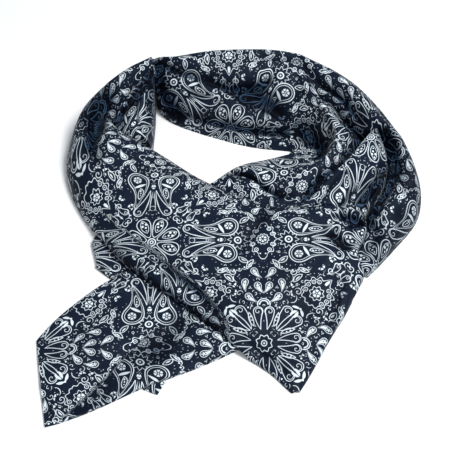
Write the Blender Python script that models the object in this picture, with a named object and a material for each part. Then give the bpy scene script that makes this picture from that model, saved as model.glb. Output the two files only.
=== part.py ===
"""Silk scarf: one square folded on the bias into a soft band and laid as an open loop, tails crossed.

Every stretch of the band is a rounded solid between two plan lines, an inner one and an outer one.
A short table gives each stretch its sections: the height of its two rims, its crest and how full
its flanks are. Fold tables then press troughs and raise ridges in the top surface.
Heights and plan places in the tables are in millimetres, and the model is in metres, +Z up.
"""
from collections import namedtuple

import bmesh
import bpy
import numpy as np
from mathutils import Vector
from mathutils.bvhtree import BVHTree

MM = 0.001
SEAM_GAP = 0.2
EDGE_WALL = 1.2
DRAPE_GAP = 0.5
DRAPE_RINGS = (0.0, 4.0, 7.0, 10.0, 13.0, 16.0)
DRAPE_FLAT = 7.0
DRAPE_SLOPE = 0.9
DRAPE_TURNS = 16
SMOOTH_SAMPLES = 9
SHARP_ANGLE = 60.0
RIM_SHELTER = 7.0
CENTRE_X = -0.8
CENTRE_Y = 5.5

Row = namedtuple("Row", "inner outer rim_in crest crest_at rim_out full_in full_out")
Fold = namedtuple("Fold", "start end at_start at_middle at_end depth_start depth_middle depth_end width sharp")
Stretch = namedtuple("Stretch", "inner outer along across colour rows folds")

SILK_NAVY = (0.030, 0.033, 0.050, 1.0)
SILK_SHADE = (0.016, 0.019, 0.034, 1.0)

LINES = {
    "left_outline": [
        (-84.2, 190.4), (-104, 182), (-125, 169), (-142, 153), (-155, 134), (-161.5, 110), (-163.5, 90),
        (-161, 70), (-155, 51), (-147, 33), (-138, 18), (-129, 4), (-118, -12), (-104, -28.5),
        (-77, -55), (-56, -72), (-35, -91.5), (-15, -106), (-5.5, -117), (12.5, -130), (27.5, -141.5),
        (37.5, -153), (43.5, -159.5)],
    "left_inside": [
        (-80.4, 175.6), (-92, 167), (-106, 151), (-117, 137), (-123, 127), (-98, 98), (-81, 97),
        (-61, 85), (-45, 72), (-26, 57), (6, 35), (33, 20.5), (53, 20), (76, 19.3), (100, 17.5),
        (116, 13), (117, -3), (108, -18), (105, -30), (114, -41), (106, -56), (100, -68),
        (92, -85), (80, -104), (62, -140), (51, -158.5)],
    "opening_left": [
        (-80, 172), (-79.5, 160), (-79, 146), (-79.5, 132), (-80, 118), (-81, 98.5)],
    "opening_back": [
        (-79.8, 175.4), (-77, 158), (-63, 144), (-47, 136), (-31, 129), (-15, 123), (2, 116.5),
        (22, 111.5), (40, 109.5), (51, 108)],
    "back_outline": [
        (-83.7, 190.7), (-66, 192), (-46, 194), (-22, 199), (10, 203), (40, 202), (63, 198)],
    "opening_right": [
        (51.3, 108), (53, 107), (54, 106), (54.5, 105), (54.5, 103.5), (54, 102), (52.5, 100),
        (50, 98), (46.5, 95.5), (40, 92.5), (25, 86), (4, 81), (-10, 72), (-25, 58)],
    "roll_outside": [
        (60.5, 171), (75, 148), (93, 135), (106, 114), (118, 102), (119, 90), (107, 71), (91, 53),
        (77, 45), (66, 32), (53, 20.4), (33, 20.9), (6, 35.4), (-25, 57.6)],
    "right_inside": [
        (60.6, 171.6), (75.2, 148.4), (93.3, 135.4), (106.4, 114.4), (118.3, 103), (130.6, 105),
        (139, 87), (141, 70), (138, 53), (131.6, 38), (123.6, 28.2), (117, 16), (117, -3),
        (108, -18), (105, -30), (114, -41)],
    "right_outline": [
        (63.6, 198), (85, 189), (104, 177), (118, 163), (132, 146), (146, 125), (156, 107),
        (164, 88), (169.5, 72), (172, 55), (171, 39), (167, 25), (160, 11.5), (146, -5.5),
        (128, -28), (115.5, -41.5)],
    "flap_left": [
        (128.8, 101.4), (119.3, 89.6), (107.3, 71), (91.3, 53), (77.3, 45), (66.3, 32), (53.6, 20.9)],
    "flap_right": [
        (129.2, 101.9), (138.4, 87), (140.5, 70), (137.5, 53), (131.1, 38), (123.1, 28.2), (116.2, 16.6)],
    "under_left": [
        (92, -22), (40, -18), (-20, -20), (-80, -28), (-112, -45), (-129.5, -58.5),
        (-149.5, -77.5), (-163, -93), (-173, -108)],
    "under_right": [
        (98, -55), (60, -82), (28, -103), (0, -117), (-19.5, -128.5), (-47.5, -141.5),
        (-80.5, -154.5), (-115.5, -174.5), (-144.5, -187.5), (-158.5, -191.5)],
    "peep_left_inner": [(-128.6, 2.6), (-117.6, -12.9), (-105.4, -27.4)],
    "peep_left_outer": [(-132, -6), (-127, -23), (-125, -32), (-113, -42.5)],
    "peep_low_inner": [(-61, -147.2), (-79, -154.3)],
    "peep_low_outer": [(-61.5, -148.6), (-67.5, -161), (-80, -156.2)],
}

STRETCHES = {
    "tail_under": Stretch("under_left", "under_right", 34, 16, SILK_NAVY, [
        Row(0.0, 0.0, 6.0, 9.5, 0.5, 6.0, 2.0, 2.0),
        Row(1.0, 1.0, 7.0, 10.0, 0.5, 7.0, 2.0, 2.0),
        Row(2.0, 2.0, 7.0, 10.0, 0.5, 7.0, 2.0, 2.0),
        Row(3.0, 3.2, 7.0, 10.0, 0.5, 6.0, 2.0, 2.0),
        Row(4.0, 4.6, 5.0, 9.5, 0.45, 4.0, 1.7, 1.6),
        Row(5.0, 6.0, 4.0, 9.0, 0.45, 3.0, 1.6, 1.5),
        Row(6.0, 7.2, 3.0, 8.0, 0.45, 2.6, 1.6, 1.5),
        Row(7.0, 8.2, 2.4, 6.0, 0.45, 2.0, 1.6, 1.5),
        Row(8.0, 9.0, 1.6, 3.2, 0.5, 1.6, 1.6, 1.5),
    ], [
        Fold(3.6, 8.0, 0.60, 0.62, 0.60, 0.8, 1.8, 0.8, 7.0, 1.0),
        Fold(4.2, 8.0, 0.82, 0.80, 0.78, -1.2, -1.6, -0.6, 9.0, 0.3),
        Fold(4.0, 7.6, 0.22, 0.28, 0.34, -0.4, -1.2, -0.4, 9.0, 1.0),
    ]),
    "under_layer_left": Stretch("peep_left_inner", "peep_left_outer", 8, 3, SILK_SHADE, [
        Row(0.0, 0.0, 6.0, 6.0, 0.5, 4.0, 1.5, 1.5),
        Row(1.0, 1.5, 6.0, 6.0, 0.5, 4.0, 1.5, 1.5),
        Row(2.0, 3.0, 5.0, 5.0, 0.5, 3.0, 1.5, 1.5),
    ], []),
    "under_layer_low": Stretch("peep_low_inner", "peep_low_outer", 6, 3, SILK_SHADE, [
        Row(0.0, 0.0, 1.4, 1.4, 0.5, 1.3, 1.0, 1.0),
        Row(1.0, 2.0, 1.4, 1.4, 0.5, 1.3, 1.0, 1.0),
    ], []),
    "left_stretch": Stretch("left_inside", "left_outline", 32, 20, SILK_NAVY, [
        Row(0.0, 0.0, 44.0, 57.0, 0.50, 1.2, 1.6, 2.0),
        Row(1.0, 1.0, 41.0, 56.0, 0.45, 1.2, 1.6, 2.0),
        Row(2.0, 2.0, 30.0, 52.0, 0.50, 1.2, 1.5, 2.0),
        Row(3.0, 3.0, 21.0, 46.0, 0.55, 1.2, 1.4, 2.0),
        Row(4.0, 4.2, 18.0, 40.0, 0.58, 1.2, 1.5, 2.0),
        Row(5.0, 5.0, 27.0, 36.0, 0.50, 1.2, 1.8, 2.1),
        Row(6.0, 6.0, 11.0, 34.0, 0.48, 1.2, 2.0, 2.2),
        Row(7.0, 7.0, 9.0, 31.0, 0.48, 1.2, 1.8, 2.2),
        Row(8.0, 8.0, 9.0, 30.0, 0.50, 1.2, 1.8, 2.2),
        Row(8.98, 8.98, 11.0, 29.0, 0.52, 1.2, 1.8, 2.2),
    ], [
        Fold(4.0, 5.0, 0.06, 0.32, 0.55, 0.0, -9.0, -15.0, 9.0, 1.0),
        Fold(5.0, 8.2, 0.55, 0.58, 0.56, -15.0, -6.0, 0.0, 9.0, 1.0),
        Fold(2.6, 5.6, 0.62, 0.76, 0.78, 0.0, -3.5, 0.0, 5.0, 1.0),
        Fold(5.6, 8.98, 0.84, 0.83, 0.82, 0.0, -1.8, -2.2, 8.0, 0.4),
        Fold(0.0, 3.6, 0.66, 0.72, 0.70, -2.0, -2.4, 0.0, 5.0, 1.0),
    ]),
    "left_inner_fold": Stretch("opening_left", "left_inside", 18, 12, SILK_NAVY, [
        Row(0.0, 0.3, 46.0, 53.0, 0.45, 43.0, 1.6, 1.6),
        Row(1.0, 1.0, 34.0, 51.0, 0.42, 40.0, 1.6, 1.6),
        Row(2.0, 2.0, 24.0, 48.0, 0.40, 29.0, 1.6, 1.6),
        Row(3.0, 3.0, 16.0, 43.0, 0.40, 20.0, 1.6, 1.6),
        Row(4.0, 3.9, 12.0, 38.0, 0.40, 17.0, 1.6, 1.6),
        Row(4.9, 4.9, 9.0, 31.0, 0.45, 25.0, 1.6, 1.6),
    ], [
        Fold(0.4, 5.0, 0.30, 0.33, 0.40, -2.0, -4.0, -2.0, 3.5, 0.6),
    ]),
    "back_stretch": Stretch("opening_back", "back_outline", 28, 22, SILK_NAVY, [
        Row(0.0, 0.1, 34.0, 54.0, 0.60, 1.2, 1.3, 2.0),
        Row(1.0, 0.5, 8.0, 57.0, 0.70, 1.2, 1.3, 2.0),
        Row(2.0, 1.0, 3.0, 58.0, 0.74, 1.2, 1.3, 2.0),
        Row(3.0, 2.0, 2.0, 60.0, 0.77, 1.2, 1.3, 2.0),
        Row(4.5, 3.0, 2.0, 62.0, 0.78, 1.2, 1.3, 2.0),
        Row(6.0, 4.0, 2.0, 62.0, 0.78, 1.2, 1.3, 2.0),
        Row(7.5, 5.0, 2.0, 61.0, 0.78, 1.2, 1.3, 2.0),
        Row(9.0, 6.0, 2.0, 59.0, 0.78, 1.2, 1.3, 2.0),
    ], [
        Fold(0.0, 3.6, 0.50, 0.58, 0.66, -4.0, -6.0, 0.0, 4.5, 0.6),
        Fold(0.6, 3.2, 0.30, 0.34, 0.40, -4.0, -9.0, 0.0, 9.0, 0.8),
        Fold(3.2, 7.0, 0.42, 0.47, 0.60, 0.0, -7.0, 0.0, 5.0, 0.6),
        Fold(2.0, 7.0, 0.13, 0.14, 0.16, -1.5, -3.5, -2.0, 6.0, 1.0),
        Fold(2.4, 7.0, 0.88, 0.90, 0.88, 0.0, -3.0, 0.0, 6.0, 1.0),
    ]),
    "right_stretch": Stretch("right_inside", "right_outline", 42, 16, SILK_NAVY, [
        Row(0.0, 0.0, 46.0, 58.0, 0.55, 1.2, 1.5, 2.0),
        Row(1.0, 2.0, 38.0, 57.0, 0.55, 1.2, 1.5, 2.0),
        Row(2.0, 3.5, 36.0, 55.0, 0.50, 1.2, 1.5, 2.0),
        Row(3.0, 5.0, 32.0, 51.0, 0.50, 1.2, 1.5, 2.0),
        Row(4.0, 6.0, 28.0, 46.0, 0.50, 1.2, 1.5, 2.0),
        Row(5.0, 6.4, 24.0, 43.0, 0.50, 1.2, 1.5, 2.0),
        Row(6.0, 7.2, 22.0, 37.0, 0.48, 1.2, 1.5, 2.0),
        Row(7.0, 8.0, 20.0, 32.0, 0.45, 1.2, 1.5, 2.1),
        Row(8.0, 9.0, 19.0, 29.0, 0.45, 1.2, 1.5, 2.1),
        Row(9.0, 10.2, 17.0, 27.0, 0.45, 1.2, 1.5, 2.1),
        Row(10.0, 11.2, 15.0, 25.0, 0.45, 1.2, 1.5, 2.1),
        Row(11.0, 12.0, 13.0, 23.0, 0.45, 1.2, 1.5, 2.1),
        Row(12.0, 13.0, 12.0, 20.0, 0.42, 1.2, 1.5, 2.1),
        Row(13.0, 13.8, 12.0, 17.0, 0.40, 1.2, 1.5, 2.1),
        Row(14.0, 14.4, 11.0, 14.0, 0.38, 1.2, 1.5, 2.0),
        Row(15.0, 15.0, 6.0, 7.0, 0.36, 1.2, 1.5, 2.0),
    ], [
        Fold(1.0, 6.0, 0.72, 0.76, 0.74, 0.0, -3.0, 0.0, 5.0, 1.0),
        Fold(5.4, 11.0, 0.60, 0.62, 0.58, 0.0, -2.2, 0.0, 6.0, 1.0),
        Fold(7.0, 12.6, 0.30, 0.26, 0.30, 0.0, 1.6, 0.0, 5.0, 1.0),
    ]),
    "right_inner_roll": Stretch("opening_right", "roll_outside", 40, 18, SILK_NAVY, [
        Row(0.0, 0.0, 2.0, 50.0, 0.84, 45.0, 1.25, 1.8),
        Row(1.0, 1.0, 4.0, 50.0, 0.80, 37.0, 1.05, 1.8),
        Row(2.0, 2.0, 6.0, 48.0, 0.68, 33.0, 0.80, 1.8),
        Row(3.0, 3.0, 8.0, 46.0, 0.62, 28.0, 0.66, 1.8),
        Row(4.0, 4.0, 9.0, 43.0, 0.58, 24.0, 0.62, 1.8),
        Row(5.0, 5.0, 9.0, 41.0, 0.58, 23.0, 0.62, 1.8),
        Row(6.0, 6.0, 9.0, 38.0, 0.66, 23.0, 0.66, 1.8),
        Row(7.0, 7.0, 9.0, 34.0, 0.68, 21.0, 0.74, 1.8),
        Row(8.0, 8.0, 10.0, 30.0, 0.64, 20.0, 0.9, 1.8),
        Row(9.0, 9.0, 11.0, 27.0, 0.58, 19.0, 1.3, 1.8),
        Row(10.0, 10.0, 12.0, 25.0, 0.50, 19.0, 1.7, 1.8),
        Row(11.0, 11.0, 12.0, 24.0, 0.50, 18.0, 1.8, 1.8),
        Row(12.0, 12.0, 11.0, 21.0, 0.50, 15.0, 1.8, 1.8),
        Row(13.0, 13.0, 10.0, 13.0, 0.50, 12.0, 1.8, 1.8),
    ], [
        Fold(0.0, 2.6, 0.40, 0.42, 0.40, -3.0, -4.0, 0.0, 8.0, 1.0),
        Fold(2.0, 7.0, 0.80, 0.84, 0.86, 0.0, -2.5, 0.0, 4.0, 1.0),
        Fold(4.4, 9.5, 0.34, 0.36, 0.30, 0.0, 2.6, 0.0, 4.0, 1.0),
        Fold(9.0, 12.6, 0.40, 0.44, 0.55, 0.0, -3.5, 0.0, 7.0, 1.0),
    ]),
    "right_flap": Stretch("flap_left", "flap_right", 22, 14, SILK_NAVY, [
        Row(0.0, 0.0, 41.0, 42.0, 0.40, 41.0, 1.5, 1.5),
        Row(1.0, 1.0, 43.0, 46.0, 0.35, 27.0, 1.5, 1.7),
        Row(2.0, 2.0, 41.0, 45.0, 0.35, 24.0, 1.5, 1.8),
        Row(3.0, 3.0, 38.0, 43.0, 0.35, 22.0, 1.5, 1.9),
        Row(4.0, 4.0, 32.0, 39.0, 0.40, 19.0, 1.5, 1.9),
        Row(5.0, 5.0, 26.0, 34.0, 0.45, 18.0, 1.5, 1.9),
        Row(6.0, 6.0, 23.0, 30.0, 0.48, 17.0, 1.6, 1.9),
    ], [
        Fold(2.4, 6.0, 0.40, 0.55, 0.70, 0.0, 2.0, 2.0, 8.0, 1.0),
        Fold(3.4, 6.0, 0.20, 0.30, 0.40, 0.0, -2.5, -3.0, 7.0, 1.0),
    ]),
    "tail_over": Stretch("left_inside", "left_outline", 44, 22, SILK_NAVY, [
        Row(9.02, 9.02, 11.0, 29.0, 0.52, 1.2, 1.8, 2.2),
        Row(10.0, 10.0, 19.0, 28.0, 0.50, 3.0, 1.8, 2.2),
        Row(11.0, 11.0, 23.0, 28.0, 0.50, 7.0, 1.8, 2.2),
        Row(12.0, 12.0, 24.0, 28.0, 0.48, 11.0, 1.8, 2.2),
        Row(13.0, 13.0, 29.0, 30.0, 0.30, 13.5, 1.8, 2.1),
        Row(14.0, 14.0, 28.0, 30.0, 0.25, 14.0, 1.8, 1.9),
        Row(15.0, 15.0, 20.0, 28.0, 0.30, 14.0, 1.8, 1.8),
        Row(16.0, 16.0, 18.0, 27.0, 0.40, 14.0, 1.8, 1.7),
        Row(17.0, 17.0, 18.0, 25.0, 0.45, 13.5, 1.8, 1.7),
        Row(18.0, 18.0, 15.0, 22.0, 0.50, 9.0, 1.8, 1.7),
        Row(19.0, 19.0, 8.0, 18.0, 0.50, 3.0, 1.8, 1.7),
        Row(20.0, 19.6, 5.0, 15.5, 0.50, 2.4, 1.8, 1.7),
        Row(21.0, 20.0, 4.0, 13.5, 0.50, 2.2, 1.8, 1.7),
        Row(22.0, 20.5, 3.4, 11.5, 0.50, 2.0, 1.8, 1.7),
        Row(23.0, 21.0, 2.8, 9.5, 0.50, 2.0, 1.8, 1.7),
        Row(24.0, 21.6, 2.0, 6.0, 0.50, 1.8, 1.8, 1.7),
        Row(25.0, 22.0, 1.5, 3.0, 0.50, 1.5, 1.8, 1.7),
    ], [
        Fold(9.02, 17.6, 0.85, 0.87, 0.90, -2.2, -3.0, -1.0, 12.0, 0.15),
        Fold(11.0, 14.8, 0.02, 0.26, 0.56, -2.0, -4.0, 0.0, 11.0, 1.0),
        Fold(17.4, 23.5, 0.90, 0.88, 0.80, 0.0, -2.6, -0.8, 9.0, 0.2),
        Fold(14.6, 21.0, 0.16, 0.24, 0.36, 0.0, 1.8, 0.0, 12.0, 1.0),
        Fold(15.2, 22.0, 0.46, 0.52, 0.58, 0.0, -1.8, 0.0, 10.0, 1.0),
    ]),
}

FREE_STRETCHES = [
    "tail_under", "under_layer_left", "under_layer_low", "left_stretch", "left_inner_fold",
    "back_stretch", "right_stretch", "right_inner_roll", "right_flap"]


def clear_scene():
    """Remove every object that is in the scene."""
    for item in list(bpy.data.objects):
        bpy.data.objects.remove(item, do_unlink=True)


def smooth_sample(values, place):
    """Read a list of values at a fractional index, averaged over one step so that corners round."""
    values = np.asarray(values, dtype=float)
    indices = np.arange(len(values))
    reach = min(0.5, place, len(values) - 1 - place)
    places = place + np.linspace(-reach, reach, SMOOTH_SAMPLES)
    if values.ndim == 1:
        return float(np.mean(np.interp(places, indices, values)))
    return np.array([np.mean(np.interp(places, indices, column)) for column in values.T])


def section_at(stretch, progress):
    """Interpolate the section rows at a progress from 0 to 1 along the stretch."""
    place = progress * (len(stretch.rows) - 1)
    indices = np.arange(len(stretch.rows))
    inner = float(np.interp(place, indices, [row.inner for row in stretch.rows]))
    outer = float(np.interp(place, indices, [row.outer for row in stretch.rows]))
    shape = [smooth_sample([row[column] for row in stretch.rows], place) for column in range(2, 8)]
    return inner, outer, shape


def flank(rim, crest, distance, fullness):
    """Height of a flank that falls from its crest, at distance 0, to its rim, at distance 1."""
    distance = min(max(distance, 0.0), 1.0)
    return rim + (crest - rim) * (1.0 - distance ** fullness) ** (1.0 / fullness)


def fold_height(folds, station, across, width_mm):
    """Sum of the ridges and troughs at a station, a place across and a section width."""
    height = 0.0
    for fold in folds:
        if not fold.start <= station <= fold.end:
            continue
        share = (station - fold.start) / (fold.end - fold.start)
        at = np.interp(share, [0.0, 0.5, 1.0], [fold.at_start, fold.at_middle, fold.at_end])
        depth = np.interp(share, [0.0, 0.5, 1.0], [fold.depth_start, fold.depth_middle, fold.depth_end])
        offset = (across - at) * width_mm / fold.width
        if offset < 0.0:
            offset /= fold.sharp
        height += depth * np.exp(-offset * offset)
    return height


def surface_point(stretch, progress, across):
    """Top surface point of a stretch, in millimetres, at two fractions from 0 to 1."""
    inner, outer, (rim_in, crest, crest_at, rim_out, full_in, full_out) = section_at(stretch, progress)
    start = smooth_sample(LINES[stretch.inner], inner)
    end = smooth_sample(LINES[stretch.outer], outer)
    width_mm = max(float(np.linalg.norm(end - start)), 1.0)
    inset = min(SEAM_GAP / width_mm, 0.4)
    plan = start + (end - start) * (inset + (1.0 - 2.0 * inset) * across)
    if across < crest_at:
        height = flank(rim_in, crest, (crest_at - across) / crest_at, full_in)
    else:
        height = flank(rim_out, crest, (across - crest_at) / (1.0 - crest_at), full_out)
    shelter = min(min(across, 1.0 - across) * width_mm / RIM_SHELTER, 1.0)
    height += fold_height(stretch.folds, inner, across, width_mm) * shelter
    return Vector((plan[0], plan[1], max(height, EDGE_WALL)))


def spread_across(share):
    """Bring the points across a section closer together near its two rims."""
    return 0.5 * share + 0.25 * (1.0 - np.cos(np.pi * share))


def to_model(point):
    """Turn a point in table millimetres into a point in the model's metres."""
    return Vector(((point.x - CENTRE_X) * MM, (point.y - CENTRE_Y) * MM, point.z * MM))


def silk_material(name, colour):
    """Plain silk finish for one solid."""
    material = bpy.data.materials.new(name)
    material.use_nodes = True
    shader = material.node_tree.nodes["Principled BSDF"]
    shader.inputs["Base Color"].default_value = colour
    shader.inputs["Roughness"].default_value = 0.45
    shader.inputs["Metallic"].default_value = 0.0
    return material


def top_grid(stretch):
    """Start a mesh with the top surface of a stretch."""
    bm = bmesh.new()
    bmesh.ops.create_grid(bm, x_segments=stretch.along, y_segments=stretch.across, size=0.5)
    for vertex in bm.verts:
        progress = min(max(vertex.co.x + 0.5, 0.0), 1.0)
        across = spread_across(min(max(vertex.co.y + 0.5, 0.0), 1.0))
        vertex.co = to_model(surface_point(stretch, progress, across))
    return bm


def close_flat(bm):
    """Drop walls from the rim to the ground and close the flat underside."""
    rim = [edge for edge in bm.edges if edge.is_boundary]
    skirt = bmesh.ops.extrude_edge_only(bm, edges=rim)["geom"]
    for vertex in [item for item in skirt if isinstance(item, bmesh.types.BMVert)]:
        vertex.co.z = 0.0
    foot = [edge for edge in bm.edges if edge.is_boundary]
    bmesh.ops.contextual_create(bm, geom=foot)


def rest_height(tree, x, y):
    """Height on which cloth rests at a plan place: the highest lower layer within reach, or the ground."""
    highest = 0.0
    for reach in DRAPE_RINGS:
        fall = max(reach - DRAPE_FLAT, 0.0) * DRAPE_SLOPE
        for turn in range(DRAPE_TURNS):
            angle = 2.0 * np.pi * turn / DRAPE_TURNS
            start = Vector((x + reach * MM * np.cos(angle), y + reach * MM * np.sin(angle), 1.0))
            hit = tree.ray_cast(start, Vector((0.0, 0.0, -1.0)))[0]
            if hit is not None:
                highest = max(highest, hit.z + (DRAPE_GAP - fall) * MM)
    return highest


def close_draped(bm, tree):
    """Close a stretch with an underside that rests on the lower layers and on the ground."""
    copied = bmesh.ops.duplicate(bm, geom=bm.verts[:] + bm.edges[:] + bm.faces[:])["geom"]
    lower = {item for item in copied if isinstance(item, bmesh.types.BMVert)}
    rim = [edge for edge in bm.edges if edge.is_boundary and edge.verts[0] not in lower]
    skirt = bmesh.ops.extrude_edge_only(bm, edges=rim)["geom"]
    lower.update(item for item in skirt if isinstance(item, bmesh.types.BMVert))
    for vertex in lower:
        rest = rest_height(tree, vertex.co.x, vertex.co.y)
        vertex.co.z = min(rest, vertex.co.z - EDGE_WALL * MM)
    bmesh.ops.remove_doubles(bm, verts=list(lower), dist=0.000001)


def add_stretch(name, stretch, tree=None):
    """Build one stretch as a closed solid and return its object."""
    bm = top_grid(stretch)
    if tree is None:
        close_flat(bm)
    else:
        close_draped(bm, tree)
    bmesh.ops.recalc_face_normals(bm, faces=bm.faces[:])
    mesh = bpy.data.meshes.new(name)
    bm.to_mesh(mesh)
    bm.free()
    mesh.materials.append(silk_material(name + "_silk", stretch.colour))
    mesh.shade_smooth()
    mesh.set_sharp_from_angle(angle=np.radians(SHARP_ANGLE))
    item = bpy.data.objects.new(name, mesh)
    bpy.context.scene.collection.objects.link(item)
    return item


def lower_layers(items):
    """Search tree of the solids that the top tail rests on."""
    joined = bmesh.new()
    for item in items:
        joined.from_mesh(item.data)
    tree = BVHTree.FromBMesh(joined)
    joined.free()
    return tree


def main():
    """Build every stretch of the scarf."""
    clear_scene()
    items = {name: add_stretch(name, STRETCHES[name]) for name in FREE_STRETCHES}
    tree = lower_layers([items["tail_under"], items["under_layer_left"]])
    add_stretch("tail_over", STRETCHES["tail_over"], tree)


main()
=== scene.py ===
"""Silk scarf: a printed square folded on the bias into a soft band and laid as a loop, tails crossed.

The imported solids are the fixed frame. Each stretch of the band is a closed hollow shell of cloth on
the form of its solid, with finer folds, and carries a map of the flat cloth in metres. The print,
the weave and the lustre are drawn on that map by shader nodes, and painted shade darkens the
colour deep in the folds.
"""
import logging
import math
from dataclasses import dataclass, field
from enum import Enum

import bmesh
import bpy
import numpy as np
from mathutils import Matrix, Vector
from mathutils.bvhtree import BVHTree


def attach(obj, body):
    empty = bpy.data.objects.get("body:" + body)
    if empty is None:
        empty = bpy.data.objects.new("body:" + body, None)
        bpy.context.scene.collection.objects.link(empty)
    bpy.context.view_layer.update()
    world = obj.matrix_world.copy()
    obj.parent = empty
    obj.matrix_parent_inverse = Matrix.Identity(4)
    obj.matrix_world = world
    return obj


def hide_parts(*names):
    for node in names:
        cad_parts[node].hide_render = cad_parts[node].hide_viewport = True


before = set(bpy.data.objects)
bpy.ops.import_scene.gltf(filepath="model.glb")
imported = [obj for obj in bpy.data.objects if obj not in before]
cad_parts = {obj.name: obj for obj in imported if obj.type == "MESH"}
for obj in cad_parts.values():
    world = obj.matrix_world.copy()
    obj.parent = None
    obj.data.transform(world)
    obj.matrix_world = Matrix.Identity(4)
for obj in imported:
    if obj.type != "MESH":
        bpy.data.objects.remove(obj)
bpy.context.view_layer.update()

log = logging.getLogger("silk_scarf")

# Metres in a millimetre. Lengths are in millimetres unless their comment or docstring says metres.
MM = 0.001
# Middle of the plan lines, which lies over the frame's origin.
CENTRE_X = -0.8
CENTRE_Y = 5.5
# Space left beside the plan lines, and the most of a section's width that it takes.
SEAM_GAP = 0.2
MOST_INSET = 0.4
# Least width of a section, and least height of a rim.
LEAST_WIDTH = 1.0
EDGE_WALL = 1.2
# Readings averaged to round the corners of a plan line.
SMOOTH_SAMPLES = 9
# Distance from the rim over which folds grow to their full height.
RIM_SHELTER = 7.0
# Distance over which tucked cloth goes out of sight.
TUCK_WIDTH = 1.6
# Most that the middle line's slope lengthens the cloth.
SLOPE_LIMIT = 1.6
# Thickness of the cloth.
CLOTH_WALL = 0.8
# Draped cloth keeps this gap over what lies below it, level within the flat reach and falling
# with this slope beyond it, and what lies below is looked for in rings of this many directions.
DRAPE_GAP = 0.5
DRAPE_FLAT = 7.0
DRAPE_SLOPE = 0.9
DRAPE_RINGS = (0.0, 4.0, 7.0, 10.0, 13.0, 16.0)
DRAPE_TURNS = 12
# Height in metres from which the drape looks down.
DRAPE_LOOKOUT = 1.0
# Angle in degrees past which an edge stays sharp.
SHARP_ANGLE = 70.0
# Packs a grid row and column into one whole number.
GRID_TAG = 1000
# Length too small to matter, in metres or millimetres.
TINY = 1e-6
# Rise of an arc that stands for a leaf's straight side.
NEARLY_STRAIGHT = -0.01
# Power with which a comma's tail thins towards its tip, 1 for an even taper.
TAIL_TAPER = 0.8
# Usual low and high of a noise texture.
NOISE_SWING = (0.3, 0.7)

Pair = tuple[float, float]
Triple = tuple[float, float, float]
Place = Pair
Line = list[Place]
Socket = bpy.types.NodeSocket
Value = float | Socket
Setting = Value | tuple[float, ...]

# Plan lines of the band's stretches, seen from above.
LINES: dict[str, Line] = {
    "left_outline": [
        (-84.2, 190.4), (-104, 182), (-125, 169), (-142, 153), (-155, 134), (-161.5, 110), (-163.5, 90),
        (-161, 70), (-155, 51), (-147, 33), (-138, 18), (-129, 4), (-118, -12), (-104, -28.5),
        (-77, -55), (-56, -72), (-35, -91.5), (-15, -106), (-5.5, -117), (12.5, -130), (27.5, -141.5),
        (37.5, -153), (43.5, -159.5)],
    "left_inside": [
        (-80.4, 175.6), (-92, 167), (-106, 151), (-117, 137), (-123, 127), (-98, 98), (-81, 97),
        (-61, 85), (-45, 72), (-26, 57), (6, 35), (33, 20.5), (53, 20), (76, 19.3), (100, 17.5),
        (116, 13), (117, -3), (108, -18), (105, -30), (114, -41), (106, -56), (100, -68),
        (92, -85), (80, -104), (62, -140), (51, -158.5)],
    "opening_left": [
        (-80, 172), (-79.5, 160), (-79, 146), (-79.5, 132), (-80, 118), (-81, 98.5)],
    "opening_back": [
        (-79.8, 175.4), (-77, 158), (-63, 144), (-47, 136), (-31, 129), (-15, 123), (2, 116.5),
        (22, 111.5), (40, 109.5), (51, 108)],
    "back_outline": [
        (-83.7, 190.7), (-66, 192), (-46, 194), (-22, 199), (10, 203), (40, 202), (63, 198)],
    "opening_right": [
        (51.3, 108), (53, 107), (54, 106), (54.5, 105), (54.5, 103.5), (54, 102), (52.5, 100),
        (50, 98), (46.5, 95.5), (40, 92.5), (25, 86), (4, 81), (-10, 72), (-25, 58)],
    "roll_outside": [
        (60.5, 171), (75, 148), (93, 135), (106, 114), (118, 102), (119, 90), (107, 71), (91, 53),
        (77, 45), (66, 32), (53, 20.4), (33, 20.9), (6, 35.4), (-25, 57.6)],
    "right_inside": [
        (60.6, 171.6), (75.2, 148.4), (93.3, 135.4), (106.4, 114.4), (118.3, 103), (130.6, 105),
        (139, 87), (141, 70), (138, 53), (131.6, 38), (123.6, 28.2), (117, 16), (117, -3),
        (108, -18), (105, -30), (114, -41)],
    "right_outline": [
        (63.6, 198), (85, 189), (104, 177), (118, 163), (132, 146), (146, 125), (156, 107),
        (164, 88), (169.5, 72), (172, 55), (171, 39), (167, 25), (160, 11.5), (146, -5.5),
        (128, -28), (115.5, -41.5)],
    "flap_left": [
        (128.8, 101.4), (119.3, 89.6), (107.3, 71), (91.3, 53), (77.3, 45), (66.3, 32), (53.6, 20.9)],
    "flap_right": [
        (129.2, 101.9), (138.4, 87), (140.5, 70), (137.5, 53), (131.1, 38), (123.1, 28.2), (116.2, 16.6)],
    "under_left": [
        (92, -22), (40, -18), (-20, -20), (-80, -28), (-112, -45), (-129.5, -58.5),
        (-149.5, -77.5), (-163, -93), (-173, -108)],
    "under_right": [
        (98, -55), (60, -82), (28, -103), (0, -117), (-19.5, -128.5), (-47.5, -141.5),
        (-80.5, -154.5), (-115.5, -174.5), (-144.5, -187.5), (-158.5, -191.5)],
    "peep_left_inner": [(-128.6, 2.6), (-115.4, -11.3), (-103.0, -25.6), (-96.9, -32.6)],
    "peep_left_outer": [
        (-132, -6), (-128, -22), (-126.6, -27.4), (-126.4, -29), (-127, -31), (-125.4, -32.6),
        (-114.4, -42.2), (-113, -43)],
    "peep_low_inner": [(-61, -147.2), (-79, -154.3)],
    "peep_low_outer": [(-61.5, -148.6), (-67, -160), (-67.7, -161.1), (-68.8, -160.9), (-80, -156.2)],
}


class Underside(Enum):
    """How a stretch of cloth is closed below."""

    FLAT = "flat"
    DRAPED = "draped"


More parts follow.
